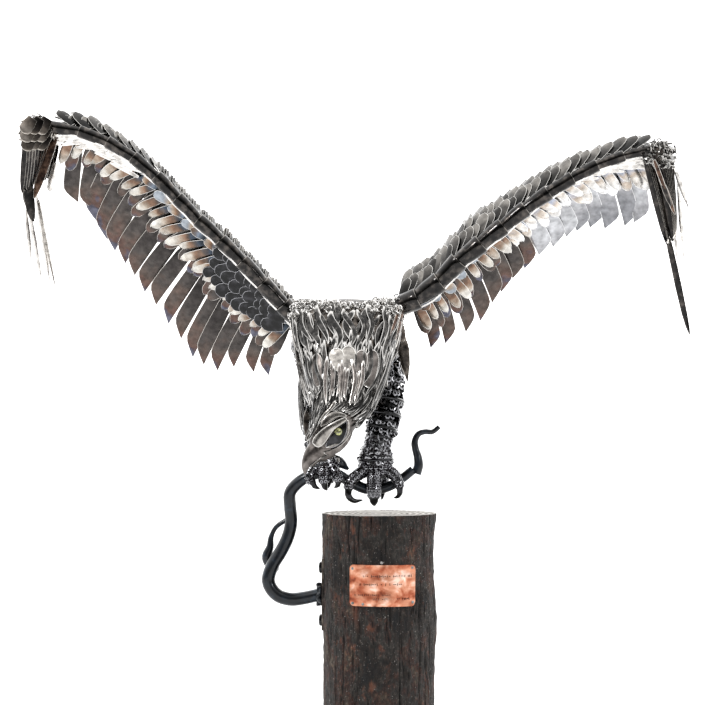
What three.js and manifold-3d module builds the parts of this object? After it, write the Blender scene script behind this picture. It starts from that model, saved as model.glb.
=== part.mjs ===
// A welded scrap-metal eagle with raised wings, gripping a snake made from bent
// pipe, which is bolted to the side of a charred timber post with a copper plaque.
// Millimetres, +Z up. The origin is the centre of the post's underside, the eagle
// faces -Y, and its right wing is on the -X side.
import * as THREE from 'three';
import { mergeVertices } from 'three/addons/utils/BufferGeometryUtils.js';
import Module from 'manifold-3d';

const wasm = await Module();
wasm.setup();

// ---- driving dimensions ----
const POST_RADIUS = 168;
const POST_HEIGHT = 750;
const GAP = 0.3;
const SHEET = 2.4;

const PLAQUE = { width: 204, height: 122, thickness: 1.6, x: 14, z: 538 };
const MOUNT_PLATE = { thickness: 6, width: 70, height: 214, z: 508 };
const BOLT = { spread: 158, head: 18, length: 9 };

const COLLAR = { radius: 35, length: 9 };

const SLEEVES = 11;
const UPPER_COVERT_REACH = 0.56;
const SHELL = 5;

const STEEL = { color: 0x3a3633, roughness: 0.38, metalness: 0.95 };
const TINTED_STEEL = { color: 0x6f625a, roughness: 0.32, metalness: 0.95 };
const PAINTED_PIPE = { color: 0x1c2630, roughness: 0.35, metalness: 0.6 };
const ZINC = { color: 0x8c8c8a, roughness: 0.45, metalness: 0.9 };
const COPPER = { color: 0xc9805c, roughness: 0.35, metalness: 1.0 };
const TIMBER = { color: 0x3b2a22, roughness: 0.9, metalness: 0.0 };
const GLASS = { color: 0xb8b23a, roughness: 0.1, metalness: 0.0 };

// Each wing: the line of its leading pipe, the line of its feather tips, how far its back
// is humped upward and rearward between the two, and how far along the pipe the feathers
// lean outward, as a share of its length.
const RIGHT_WING = {
  side: 'right',
  outward: -1,
  feathers: 17,
  arm: [[-222, -74, 1308], [-340, -100, 1432], [-432, -115, 1529], [-549, -125, 1638],
    [-653, -130, 1747], [-759, -130, 1830], [-866, -125, 1880], [-968, -115, 1899]],
  tips: [[-292, 120, 1151], [-420, 150, 1172], [-547, 168, 1185], [-640, 172, 1315],
    [-720, 163, 1425], [-800, 148, 1530], [-861, 118, 1650], [-955, 72, 1695]],
  armRadius: [26, 20, 18, 16.5],
  lift: [40, 95, 110, 80],
  back: [110, 130, 130, 90],
  featherWidth: [46, 52, 50, 40],
  lean: 0.15,
};
const LEFT_WING = {
  side: 'left',
  outward: 1,
  feathers: 16,
  arm: [[38, -76, 1358], [146, -95, 1411], [231, -110, 1497], [346, -120, 1588],
    [476, -125, 1688], [615, -125, 1771], [713, -120, 1810], [800, -115, 1830]],
  tips: [[125, 150, 1230], [225, 175, 1255], [325, 190, 1340], [405, 190, 1438],
    [475, 178, 1512], [560, 158, 1568], [637, 138, 1605], [745, 110, 1614],
    [847, 80, 1636]],
  armRadius: [30, 26, 19, 13.5],
  lift: [190, 255, 170, 60],
  back: [150, 160, 140, 90],
  featherWidth: [46, 50, 56, 56],
  lean: 0.075,
};

const vec = (x, y, z) => new THREE.Vector3(x, y, z);
const toVec = (point) => vec(...point);
const curveThrough = (points) => new THREE.CatmullRomCurve3(points.map(toVec));
const mix = (a, b, t) => a + (b - a) * t;

// A value read from an evenly spaced row of values, at a place from 0 to 1.
function along(values, t) {
  const place = Math.min(Math.max(t, 0), 1) * (values.length - 1);
  const index = Math.min(Math.floor(place), values.length - 2);
  return mix(values[index], values[index + 1], place - index);
}

// ---- solids from cross-sections ----

// Joins a row of rings with the same number of points into one closed body.
function loft(rings) {
  const count = rings[0].length;
  const points = rings.flat();
  const faces = [];
  for (let ring = 0; ring < rings.length - 1; ring += 1) {
    for (let i = 0; i < count; i += 1) {
      const a = ring * count + i;
      const b = ring * count + ((i + 1) % count);
      faces.push(a, b, b + count, a, b + count, a + count);
    }
  }
  const closeEnd = (ring, turned) => {
    const centre = points.length;
    const middle = vec(0, 0, 0);
    rings[ring].forEach((point) => middle.add(point));
    points.push(middle.divideScalar(count));
    for (let i = 0; i < count; i += 1) {
      const a = ring * count + i;
      const b = ring * count + ((i + 1) % count);
      faces.push(...(turned ? [centre, b, a] : [centre, a, b]));
    }
  };
  closeEnd(0, true);
  closeEnd(rings.length - 1, false);
  return facingOut(points, faces);
}

function facingOut(points, faces) {
  let volume = 0;
  for (let i = 0; i < faces.length; i += 3) {
    const [a, b, c] = [points[faces[i]], points[faces[i + 1]], points[faces[i + 2]]];
    volume += a.dot(b.clone().cross(c));
  }
  const turned = volume < 0 ? faces.slice().reverse() : faces;
  const geometry = new THREE.BufferGeometry();
  geometry.setAttribute('position', new THREE.Float32BufferAttribute(
    points.flatMap((point) => point.toArray()), 3));
  geometry.setIndex(turned);
  return geometry;
}

function oval(centre, across, over, halfWidth, halfHeight, count) {
  return Array.from({ length: count }, (_, i) => {
    const angle = (i / count) * 2 * Math.PI;
    return centre.clone()
      .addScaledVector(across, Math.cos(angle) * halfWidth)
      .addScaledVector(over, Math.sin(angle) * halfHeight);
  });
}

// A round bar along a curve, its radius given by a function of the place from 0 to 1.
function bar(curve, radiusAt, sides, steps) {
  const frames = curve.computeFrenetFrames(steps, false);
  const rings = [];
  for (let i = 0; i <= steps; i += 1) {
    const radius = radiusAt(i / steps);
    rings.push(oval(curve.getPointAt(i / steps), frames.normals[i], frames.binormals[i],
      radius, radius, sides));
  }
  return loft(rings);
}

// A rounded mass through stations of [x, y, z, half width, half depth], each section
// square to the line of the stations and kept level with the given sideways direction.
function mass(stations, sideways, sides, steps) {
  const curve = curveThrough(stations.map((station) => station.slice(0, 3)));
  const widths = stations.map((station) => station[3]);
  const depths = stations.map((station) => station[4]);
  const rings = [];
  for (let i = 0; i <= steps; i += 1) {
    const t = i / steps;
    const ahead = curve.getTangent(t);
    const over = ahead.clone().cross(toVec(sideways)).normalize();
    const across = over.clone().cross(ahead).normalize();
    rings.push(oval(curve.getPoint(t), across, over, along(widths, t), along(depths, t),
      sides));
  }
  return loft(rings);
}

// ---- joins and cuts ----

function welded(geometry) {
  const bare = geometry.clone();
  bare.deleteAttribute('normal');
  bare.deleteAttribute('uv');
  return mergeVertices(bare, 1e-4);
}

function toSolid(geometry) {
  const merged = welded(geometry);
  return new wasm.Manifold(new wasm.Mesh({
    numProp: 3,
    vertProperties: new Float32Array(merged.attributes.position.array),
    triVerts: new Uint32Array(merged.index.array),
  }));
}

function fromSolid(solid) {
  const mesh = solid.getMesh();
  const geometry = new THREE.BufferGeometry();
  geometry.setAttribute('position', new THREE.BufferAttribute(mesh.vertProperties, 3));
  geometry.setIndex(new THREE.BufferAttribute(mesh.triVerts, 1));
  return geometry;
}

// The same shape with its skin pushed outward, to cut clearance round a neighbour.
function grown(geometry, distance) {
  const merged = welded(geometry);
  merged.computeVertexNormals();
  const { position, normal } = merged.attributes;
  for (let i = 0; i < position.count; i += 1) {
    position.setXYZ(i, position.getX(i) + normal.getX(i) * distance,
      position.getY(i) + normal.getY(i) * distance,
      position.getZ(i) + normal.getZ(i) * distance);
  }
  return merged;
}

function joined(...geometries) {
  return fromSolid(geometries.map(toSolid).reduce((whole, next) => whole.add(next)));
}

function clearOf(geometry, ...neighbours) {
  return fromSolid(neighbours.reduce(
    (left, neighbour) => left.subtract(toSolid(grown(neighbour, GAP * 2))),
    toSolid(geometry)));
}

// ---- timber post, plaque and fixings ----

function postRadiusAt(angle, height) {
  const knot = Math.exp(-(((height - 430) / 70) ** 2)) * Math.max(0, Math.cos(angle)) ** 12;
  const ripple = Math.sin(angle * 5 + height / 160) + Math.sin(angle * 9 - height / 90) / 2;
  return POST_RADIUS + ripple * 1.6 + knot * 9;
}

function makePost() {
  const levels = [0, 10, 200, 360, 430, 500, POST_HEIGHT - 7, POST_HEIGHT];
  const sides = 24;
  const rings = levels.map((height, level) => Array.from({ length: sides }, (_, i) => {
    const angle = (i / sides) * 2 * Math.PI;
    const eased = level === 0 || level === levels.length - 1 ? 6 : 0;
    const radius = postRadiusAt(angle, height) - eased;
    return vec(radius * Math.cos(angle), radius * Math.sin(angle), height);
  }));
  const seat = new THREE.BoxGeometry(40, MOUNT_PLATE.width + 4, MOUNT_PLATE.height + 4);
  seat.translate(-POST_RADIUS + 4 - 20, 0, MOUNT_PLATE.z);
  return fromSolid(toSolid(loft(rings)).subtract(toSolid(seat)));
}

function makePlaque() {
  const { width, height, thickness, x, z } = PLAQUE;
  const sheet = new THREE.BoxGeometry(width, thickness, height, 10, 1, 2);
  const { position } = sheet.attributes;
  for (let i = 0; i < position.count; i += 1) {
    const up = position.getZ(i);
    const corner = Math.abs(up) > height * 0.49 ? 0.95 : 1;
    const angle = -Math.PI / 2 + (position.getX(i) * corner + x) / POST_RADIUS;
    const radius = postRadiusAt(angle, z + up) + 1.4 + thickness / 2 - position.getY(i);
    position.setXYZ(i, radius * Math.cos(angle), radius * Math.sin(angle), z + up);
  }
  return sheet;
}

function makeMountPlate() {
  const { thickness, width, height, z } = MOUNT_PLATE;
  const plate = new THREE.BoxGeometry(thickness, width, height);
  plate.translate(-POST_RADIUS + 4 - GAP - thickness / 2, 0, z);
  return plate;
}

const plateFace = -POST_RADIUS + 4 - GAP - MOUNT_PLATE.thickness;

function makeBolt(up) {
  const profile = [[0, 0], [BOLT.head, 0], [BOLT.head, BOLT.length * 0.6],
    [BOLT.head * 0.7, BOLT.length], [0, BOLT.length]];
  const head = new THREE.LatheGeometry(profile.map((p) => new THREE.Vector2(...p)), 12);
  head.rotateZ(Math.PI / 2);
  head.translate(plateFace - GAP, 0, MOUNT_PLATE.z + (up * BOLT.spread) / 2);
  return head;
}

// ---- the snake ----

const PIPE_ROUTE = [[plateFace - GAP, 0, 507], [-224, 0, 495], [-268, -4, 492], [-307, -6, 507],
  [-330, -6, 545], [-319, -5, 591], [-292, 0, 636], [-272, 0, 678], [-262, 0, 723],
  [-265, -4, 769], [-265, -8, 811], [-241, -12, 841], [-211, -14, 860], [-175, -14, 871],
  [-136, -14, 871], [-91, -12, 848], [-41, -8, 824], [4, -4, 822], [46, 0, 837],
  [74, 0, 856], [104, 0, 880]];

function makeSnakeBody() {
  const route = curveThrough(PIPE_ROUTE);
  const length = route.getLength();
  const radii = [19, 20, 20, 20, 19.5, 19, 18.5, 18, 17, 16.5, 16, 14.5, 13.5];
  const pipe = bar(route, (t) => along(radii, t), 8, 32);
  const collarRoute = new THREE.LineCurve3(route.getPointAt(0),
    route.getPointAt(COLLAR.length / length));
  return joined(pipe, bar(collarRoute, () => COLLAR.radius, 10, 1));
}

function makeSnakeTail() {
  const route = curveThrough([[113, 0, 868], [120, 0, 893], [118, 0, 918], [111, 0, 942],
    [109, 0, 966], [120, 0, 987], [140, 0, 994], [160, 0, 993], [172, 0, 1000],
    [182, 0, 1009]]);
  return bar(route, (t) => along([15, 14.5, 13, 11, 10.5, 9, 8, 7.5, 6.5], t), 7, 14);
}

function makeSnakeHead() {
  return mass([[-152, 20, 880, 10, 10], [-140, 8, 896, 16, 17], [-124, 2, 902, 21, 19],
    [-107, 0, 894, 16, 14], [-95, 0, 885, 8, 7], [-88, 0, 880, 3, 3]], [0, 1, 0], 10, 7);
}

function makeSideShoot() {
  const route = curveThrough([[-300, 27, 588], [-322, 30, 592], [-336, 27, 616],
    [-326, 25, 648], [-323, 25, 676], [-308, 25, 702], [-288, 25, 727]]);
  return bar(route, (t) => along([14, 16, 13, 9, 7, 5, 3], t), 7, 12);
}

// ---- body, neck and head ----

function makeBody() {
  return mass([[-95, -118, 1305, 60, 36], [-96, -92, 1298, 140, 84], [-96, 0, 1272, 156, 118],
    [-95, 110, 1258, 140, 112], [-94, 220, 1250, 98, 82], [-94, 300, 1246, 56, 46],
    [-94, 340, 1245, 34, 22]], [1, 0, 0], 14, 10);
}

function makeNeck() {
  return mass([[-96, -70, 1372, 120, 26], [-96, -118, 1345, 156, 52], [-97, -168, 1285, 142, 66],
    [-96, -218, 1218, 120, 70], [-98, -264, 1150, 104, 64], [-108, -298, 1095, 84, 60],
    [-122, -318, 1058, 70, 56]], [1, 0, 0], 14, 8);
}

function makeHead() {
  return mass([[-108, -322, 1072, 64, 50], [-124, -334, 1040, 64, 50], [-143, -344, 1004, 58, 46],
    [-160, -350, 974, 48, 36], [-172, -352, 952, 40, 28]], [-0.77, 0, 0.64], 12, 6);
}

function makeBeak() {
  return mass([[-166, -352, 966, 44, 27], [-178, -354, 946, 42, 25], [-193, -357, 924, 32, 19],
    [-203, -359, 904, 21, 13], [-210, -360, 889, 12, 8], [-208, -361, 877, 5, 4],
    [-203, -361, 871, 2, 2]], [-0.87, 0, 0.5], 8, 8);
}

function makeEye(side) {
  const ball = new THREE.SphereGeometry(11, 8, 6);
  ball.translate(-122, side * 42 - 339, 1010);
  return ball;
}

// ---- legs, feet and tail ----

function makeRightLeg() {
  return mass([[-172, 40, 1190, 40, 46], [-186, 30, 1130, 46, 50], [-190, 14, 1070, 40, 44],
    [-190, 2, 1020, 34, 38], [-184, -8, 965, 30, 32], [-172, -12, 925, 34, 34],
    [-166, -14, 908, 34, 34]], [1, 0, 0], 10, 8);
}

function makeLeftLeg() {
  return mass([[0, 40, 1240, 44, 50], [18, 34, 1180, 50, 54], [22, 22, 1116, 52, 54],
    [14, 8, 1040, 46, 48], [2, -4, 972, 35, 38], [-4, -8, 950, 33, 34],
    [-8, -8, 926, 42, 42], [-8, -8, 900, 48, 46]], [1, 0, 0], 10, 10);
}

function toe(points, radii) {
  return bar(curveThrough(points), (t) => along(radii, t), 5, 6);
}

function makeLeftFoot() {
  const palm = mass([[-8, -8, 898, 46, 40], [-8, -10, 880, 50, 42], [-8, -12, 862, 46, 36]],
    [1, 0, 0], 10, 2);
  const scaly = [15, 15, 13, 12, 9, 4, 1];
  return joined(palm,
    toe([[-30, -28, 872], [-52, -40, 850], [-64, -48, 828], [-76, -46, 808], [-73, -38, 792]],
      scaly),
    toe([[-10, -34, 876], [-12, -48, 850], [-12, -56, 824], [-12, -56, 798], [-10, -44, 778]],
      [17, 17, 16, 15, 14, 8, 2]),
    toe([[16, -28, 876], [38, -38, 856], [50, -42, 834], [58, -42, 814], [56, -34, 796]],
      scaly),
    toe([[8, 18, 872], [16, 34, 850], [16, 36, 822], [12, 28, 800], [10, 20, 790]], scaly));
}

function makeRightFoot() {
  const palm = mass([[-166, -14, 906, 34, 34], [-164, -16, 890, 44, 40], [-162, -18, 872, 44, 38],
    [-162, -18, 860, 38, 34]], [1, 0, 0], 10, 3);
  const scaly = [16, 16, 14, 12, 9, 5, 1];
  return joined(palm,
    toe([[-186, -36, 886], [-200, -52, 866], [-202, -58, 846], [-192, -56, 830],
      [-180, -48, 824]], scaly),
    toe([[-164, -40, 884], [-164, -58, 864], [-164, -62, 844], [-162, -56, 828],
      [-160, -44, 820]], scaly),
    toe([[-142, -36, 880], [-130, -52, 862], [-126, -56, 846], [-124, -48, 832],
      [-124, -38, 826]], scaly),
    toe([[-150, 12, 884], [-146, 30, 866], [-148, 32, 842], [-152, 26, 828], [-156, 18, 820]],
      scaly));
}

function makeTail() {
  const quills = 5;
  const blades = Array.from({ length: quills }, (_, i) => {
    const fan = (i - (quills - 1) / 2) / quills;
    const root = vec(-123 + fan * 50, 350, 1243 + i * 0.4);
    const tip = vec(-123 + fan * 200, 640 - Math.abs(fan) * 60, 1214);
    const across = vec(1, 0, -0.1);
    return blade(new THREE.LineCurve3(root, tip), () => across, 58);
  });
  const boss = mass([[-94, 338, 1245, 30, 15], [-94, 372, 1242, 34, 12], [-94, 392, 1240, 24, 6]],
    [1, 0, 0], 10, 3);
  return joined(boss, ...blades);
}

// ---- feathers ----

// A feather cut from sheet: one edge runs straight to the point, the other is parallel
// and is then swept in to meet it. The line runs from root to point along the straight
// edge, and acrossAt gives the direction of the swept side.
function blade(line, acrossAt, width) {
  const stations = [0, 0.35, 0.68, 0.82, 0.93, 1];
  const sweep = [0.6, 1, 1, 0.7, 0.32, 0.02];
  const rings = stations.map((t, i) => {
    const across = acrossAt(t).clone().normalize();
    const ahead = line.getTangent(Math.min(Math.max(t, 0.01), 0.99));
    const face = ahead.clone().cross(across).normalize().multiplyScalar(SHEET / 2);
    const straight = line.getPoint(t);
    const swept = straight.clone().addScaledVector(across, sweep[i] * width + 1);
    return [straight.clone().add(face), swept.clone().add(face),
      swept.clone().sub(face), straight.clone().sub(face)];
  });
  return loft(rings);
}

// ---- wings ----

function wingFrame(wing) {
  return { ...wing, armLine: curveThrough(wing.arm), tipLine: curveThrough(wing.tips) };
}

// A point of the humped wing: u runs from the shoulder to the wrist and v from the
// leading pipe to the feather points.
function wingPoint(wing, u, v) {
  const rootPlace = u - wing.lean * Math.sin(Math.PI * u ** 1.15);
  const arm = wing.armLine.getPointAt(rootPlace);
  const tip = wing.tipLine.getPoint(u);
  const crown = arm.clone().lerp(tip, 0.35);
  crown.y = arm.y + along(wing.back, u);
  crown.z = arm.z + along(wing.lift, u);
  return arm.multiplyScalar((1 - v) ** 2).addScaledVector(crown, 2 * v * (1 - v))
    .addScaledVector(tip, v ** 2);
}

function wingNormal(wing, u, v) {
  const step = 0.01;
  const spanwise = wingPoint(wing, Math.min(u + step, 1), v)
    .sub(wingPoint(wing, Math.max(u - step, 0), v));
  const chordwise = wingPoint(wing, u, Math.min(v + step, 1))
    .sub(wingPoint(wing, u, Math.max(v - step, 0)));
  return spanwise.cross(chordwise).normalize().multiplyScalar(wing.outward);
}

// The leading pipe: straight lengths of tube, each flared over the end of the next.
function makeArm(wing) {
  const rings = [];
  const sides = 10;
  for (let sleeve = 0; sleeve < SLEEVES; sleeve += 1) {
    const ends = [sleeve / SLEEVES, (sleeve + 1) / SLEEVES];
    const from = wing.armLine.getPointAt(ends[0]);
    const to = wing.armLine.getPointAt(ends[1]);
    const ahead = to.clone().sub(from).normalize();
    const over = ahead.clone().cross(vec(0, 1, 0)).normalize();
    const across = over.clone().cross(ahead).normalize();
    const nudge = 1.5;
    const flare = [0.93, 1.07];
    ends.forEach((u, end) => {
      const centre = (end ? to : from).clone().addScaledVector(ahead, end ? -nudge : nudge);
      const radius = along(wing.armRadius, u) * flare[end];
      rings.push(oval(centre, across, over, radius, radius, sides));
    });
  }
  return loft(rings);
}

// The back of the wing where the upper coverts are welded into one shell, with a
// scalloped lower edge.
function makeCovertShell(wing) {
  const rings = [];
  const steps = 22;
  const rows = 4;
  for (let i = 0; i <= steps; i += 1) {
    const u = 0.02 + (0.96 * i) / steps;
    const reach = UPPER_COVERT_REACH + (i % 2 ? 0.03 : 0);
    const start = 0.10 + (0.04 * (steps - i)) / steps;
    const top = [];
    const bottom = [];
    for (let row = 0; row <= rows; row += 1) {
      const v = mix(start, reach, row / rows);
      const point = wingPoint(wing, u, v);
      const normal = wingNormal(wing, u, v);
      top.push(point.clone().addScaledVector(normal, SHELL));
      bottom.unshift(point);
    }
    rings.push([...top, ...bottom]);
  }
  return loft(rings);
}

// One flight feather of the trailing row, tucked under the covert shell. Its swept
// side is tilted down, so that it passes beneath the next feather.
function makeFlightFeather(wing, index) {
  const u = 0.03 + (0.93 * (index + 0.5)) / wing.feathers;
  const rootDepth = 0.24;
  const hang = 8;
  const tilt = -0.22;
  const depthAt = (t) => mix(rootDepth, 1, t);
  const line = new THREE.CatmullRomCurve3([0, 0.25, 0.5, 0.75, 1].map((t) => (
    wingPoint(wing, u, depthAt(t)).addScaledVector(wingNormal(wing, u, depthAt(t)), -hang))));
  const acrossAt = (t) => {
    const ahead = line.getTangent(Math.min(Math.max(t, 0.01), 0.99));
    const normal = wingNormal(wing, u, depthAt(t));
    const spanwise = wingPoint(wing, u + 0.02, depthAt(t)).sub(wingPoint(wing, u, depthAt(t)));
    const across = spanwise.addScaledVector(ahead, -spanwise.dot(ahead)).normalize();
    return across.addScaledVector(normal, tilt);
  };
  return blade(line, acrossAt, along(wing.featherWidth, u));
}

// The folded hand at the end of the wing: a knot of scales over the wrist, with the
// long primaries hanging from it almost edge-on to the front.
function makeWingTip(knot, primaries) {
  const blades = primaries.map(({ root, tip, width, lean }) => {
    const line = new THREE.LineCurve3(toVec(root), toVec(tip));
    return blade(line, () => vec(lean, 1, 0), width);
  });
  return joined(mass(knot, [1, 0, 0], 8, 5), ...blades);
}

function makeRightWingTip() {
  const knot = [[-1000, -128, 1888, 32, 30], [-1014, -90, 1894, 46, 44], [-1016, -30, 1888, 44, 44],
    [-1010, 40, 1880, 34, 34], [-1002, 96, 1874, 16, 18]];
  const tips = [[-1066, -96, 1738], [-1062, -66, 1652], [-1040, -40, 1622], [-1030, -4, 1560],
    [-1024, 28, 1496], [-1012, 58, 1430], [-988, 78, 1414]];
  const primaries = tips.map((tip, i) => ({
    root: [-1030 + i * 7, -112 + i * 26, 1884], tip, width: 58 - i * 3, lean: -0.3,
  }));
  return makeWingTip(knot, primaries);
}

function makeLeftWingTip() {
  const knot = [[830, -128, 1816, 28, 26], [846, -90, 1822, 36, 36], [848, -30, 1818, 38, 38],
    [850, 40, 1812, 30, 32], [852, 92, 1806, 14, 18]];
  const tips = [[872, -96, 1538], [892, -70, 1520], [900, -44, 1580], [905, -10, 1600],
    [930, 24, 1286], [922, 54, 1448], [932, 76, 1668]];
  const primaries = tips.map((tip, i) => ({
    root: [834 + i * 6, -112 + i * 26, 1816], tip, width: 58 - i * 3, lean: 0.3,
  }));
  return makeWingTip(knot, primaries);
}

// ---- assembly ----

const eagle = new THREE.Group();

function add(name, geometry, finish) {
  const mesh = new THREE.Mesh(geometry, new THREE.MeshStandardMaterial(finish));
  mesh.name = name;
  eagle.add(mesh);
}

const post = makePost();
const mountPlate = makeMountPlate();
const snakeBody = clearOf(makeSnakeBody(), post, mountPlate);
const snakeHead = makeSnakeHead();
const body = makeBody();
const neck = makeNeck();
const head = makeHead();
const rightLeg = makeRightLeg();
const leftLeg = makeLeftLeg();
const rightFoot = makeRightFoot();
const wings = [RIGHT_WING, LEFT_WING].map(wingFrame);
const tips = { right: makeRightWingTip(), left: makeLeftWingTip() };

add('timber_post', post, TIMBER);
add('copper_plaque', makePlaque(), COPPER);
add('mounting_plate', mountPlate, ZINC);
add('upper_coach_bolt', makeBolt(1), ZINC);
add('lower_coach_bolt', makeBolt(-1), ZINC);
add('snake_body', snakeBody, PAINTED_PIPE);
add('snake_tail', clearOf(makeSnakeTail(), snakeBody), PAINTED_PIPE);
add('snake_head', clearOf(snakeHead, snakeBody, rightLeg), PAINTED_PIPE);
add('snake_side_shoot', clearOf(makeSideShoot(), snakeBody), PAINTED_PIPE);
add('eagle_body', body, STEEL);
add('eagle_neck', clearOf(neck, body), STEEL);
add('eagle_head', clearOf(head, neck), STEEL);
add('eagle_beak', clearOf(makeBeak(), head), STEEL);
add('left_eye', clearOf(makeEye(-1), head), GLASS);
add('right_eye', clearOf(makeEye(1), head), GLASS);
add('eagle_tail', clearOf(makeTail(), body), TINTED_STEEL);
add('right_leg', clearOf(rightLeg, body, neck), STEEL);
add('left_leg', clearOf(leftLeg, body, neck), STEEL);
add('right_foot', clearOf(rightFoot, rightLeg, snakeBody, snakeHead), STEEL);
add('left_foot', clearOf(makeLeftFoot(), leftLeg, snakeBody), STEEL);

wings.forEach((wing) => {
  const arm = clearOf(makeArm(wing), body, neck, tips[wing.side]);
  const shell = clearOf(makeCovertShell(wing), arm, body, neck, tips[wing.side]);
  add(`${wing.side}_wing_pipe`, arm, STEEL);
  add(`${wing.side}_wing_coverts`, shell, STEEL);
  add(`${wing.side}_wing_tip`, tips[wing.side], STEEL);
  for (let i = 0; i < wing.feathers; i += 1) {
    const name = `${wing.side}_flight_feather_${String(i + 1).padStart(2, '0')}`;
    add(name, clearOf(makeFlightFeather(wing, i), shell, arm, tips[wing.side]), TINTED_STEEL);
  }
});

export default eagle;
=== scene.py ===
import math
import random

import bpy
from mathutils import Matrix, Vector, noise
from mathutils.bvhtree import BVHTree


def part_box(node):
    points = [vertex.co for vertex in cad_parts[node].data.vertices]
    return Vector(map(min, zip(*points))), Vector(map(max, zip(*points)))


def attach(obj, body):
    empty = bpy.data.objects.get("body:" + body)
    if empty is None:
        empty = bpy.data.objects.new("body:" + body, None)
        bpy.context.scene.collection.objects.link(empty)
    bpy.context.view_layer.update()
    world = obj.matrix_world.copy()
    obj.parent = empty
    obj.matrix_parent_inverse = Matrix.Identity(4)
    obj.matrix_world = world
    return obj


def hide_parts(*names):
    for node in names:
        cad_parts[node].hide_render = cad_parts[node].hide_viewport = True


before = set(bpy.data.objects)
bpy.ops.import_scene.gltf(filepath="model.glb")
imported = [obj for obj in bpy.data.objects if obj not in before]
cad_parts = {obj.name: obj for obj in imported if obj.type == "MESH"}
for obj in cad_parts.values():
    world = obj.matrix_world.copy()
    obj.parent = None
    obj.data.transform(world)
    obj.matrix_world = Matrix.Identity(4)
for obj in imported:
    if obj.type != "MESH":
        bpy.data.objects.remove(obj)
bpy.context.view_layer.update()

# A welded scrap-steel eagle on a charred post. Lengths in the lists below are in
# millimetres, and MM turns them into Blender's metres.
MM = 0.001
UP = Vector((0, 0, 1))
FRONT = Vector((0, -1, 0))
RIGHT = Vector((1, 0, 0))


# ---------------------------------------------------------------- the work bench

def only(*made):
    """Selects these pieces and nothing else."""
    bpy.ops.object.select_all(action="DESELECT")
    for piece in made:
        piece.select_set(True)
    bpy.context.view_layer.objects.active = made[0]


def pick(piece, kind, test):
    """In edit mode, selects only the points, edges or faces that pass the test."""
    bpy.ops.mesh.select_mode(type=kind)
    bpy.ops.mesh.select_all(action="DESELECT")
    bpy.ops.object.mode_set(mode="OBJECT")
    parts = {"VERT": piece.data.vertices, "EDGE": piece.data.edges, "FACE": piece.data.polygons}
    for part in parts[kind]:
        part.select = test(part)
    bpy.ops.object.mode_set(mode="EDIT")


def modify(piece, kind, **settings):
    """Adds a modifier with its settings and applies it."""
    only(piece)
    modifier = piece.modifiers.new(kind, kind)
    for name, value in settings.items():
        setattr(modifier, name, value)
    bpy.ops.object.modifier_apply(modifier=modifier.name)


def new_piece(name):
    """Names the primitive that was just added, and puts its place into its mesh."""
    piece = bpy.context.object
    piece.name = piece.data.name = name
    only(piece)
    bpy.ops.object.transform_apply(location=True, rotation=True, scale=True)
    return piece


def smooth(piece, degrees=35):
    """Shades a piece smooth, but keeps edges sharper than this many degrees."""
    only(piece)
    bpy.ops.object.shade_smooth_by_angle(angle=math.radians(degrees))


def join(name, made):
    """Welds several pieces into one."""
    only(*made)
    bpy.ops.object.join()
    piece = bpy.context.object
    piece.name = piece.data.name = name
    return piece


def scrap(*made):
    """Throws away patterns that are no longer needed."""
    for piece in made:
        bpy.data.objects.remove(piece)


def merged_copy(node, name):
    """A copy of a CAD piece with its loose triangles joined back into one skin."""
    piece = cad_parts[node].copy()
    piece.data = piece.data.copy()
    piece.parent = None
    piece.name = piece.data.name = name
    for key in list(piece.keys()):
        del piece[key]
    bpy.context.scene.collection.objects.link(piece)
    piece.data.materials.clear()
    only(piece)
    bpy.ops.object.mode_set(mode="EDIT")
    bpy.ops.mesh.select_all(action="SELECT")
    bpy.ops.mesh.remove_doubles(threshold=0.02 * MM)
    bpy.ops.mesh.normals_make_consistent(inside=False)
    bpy.ops.mesh.tris_convert_to_quads(face_threshold=math.radians(60),
                                       shape_threshold=math.radians(60))
    bpy.ops.object.mode_set(mode="OBJECT")
    return piece


def skin_of(*nodes):
    """The outer skin of some CAD pieces, to lay other pieces on."""
    points, faces = [], []
    for name in nodes:
        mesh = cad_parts[name].data
        start = len(points)
        points.extend(vertex.co.copy() for vertex in mesh.vertices)
        faces.extend([start + i for i in face.vertices] for face in mesh.polygons)
    return BVHTree.FromPolygons(points, faces)


def stand(place, ahead, face, size=(1, 1, 1)):
    """The placing of a piece with its Y along ahead and its Z towards face."""
    along_y = ahead.normalized()
    along_x = along_y.cross(face).normalized()
    along_z = along_x.cross(along_y)
    turn = Matrix((along_x, along_y, along_z)).transposed().to_4x4()
    return Matrix.Translation(place) @ turn @ Matrix.Diagonal((*size, 1))


def mark_points(mesh, name, values):
    """Writes a number on each point, for the finishes to read: a rim, painted brighter as partly a
    ground edge and partly a highlight, a tone, or the painted shade of a crack.
    """
    marks = mesh.attributes.get(name) or mesh.attributes.new(name, "FLOAT", "POINT")
    marks.data.foreach_set("value", values)


def set_tone(mesh, tone):
    """Each plate has one number from 0 to 1, which the finishes read as its tint."""
    mark_points(mesh, "tone", [tone] * len(mesh.vertices))


def copies(name, pattern, places):
    """One piece of many copies of a pattern. Each place is (placing, tone)."""
    made = []
    for placing, tone in places:
        mesh = pattern.data.copy()
        mesh.transform(placing)
        if placing.determinant() < 0:
            mesh.flip_normals()
        set_tone(mesh, tone)
        copy = bpy.data.objects.new(name, mesh)
        bpy.context.scene.collection.objects.link(copy)
        made.append(copy)
    return join(name, made)


def fit_out(piece, finish, slot, *nodes):
    """Gives a piece its finish and its body, and hides the CAD pieces it shows. slot is not used.
    """
    piece.data.materials.clear()
    piece.data.materials.append(finish)
    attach(piece, "root")
    if nodes:
        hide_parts(*nodes)
    return piece


def any_way(rng):
    """An arrow that points any way at all."""
    return Vector((rng.uniform(-1, 1), rng.uniform(-1, 1), rng.uniform(-1, 1)))


# ---------------------------------------------------------------- lines and wings

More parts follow.
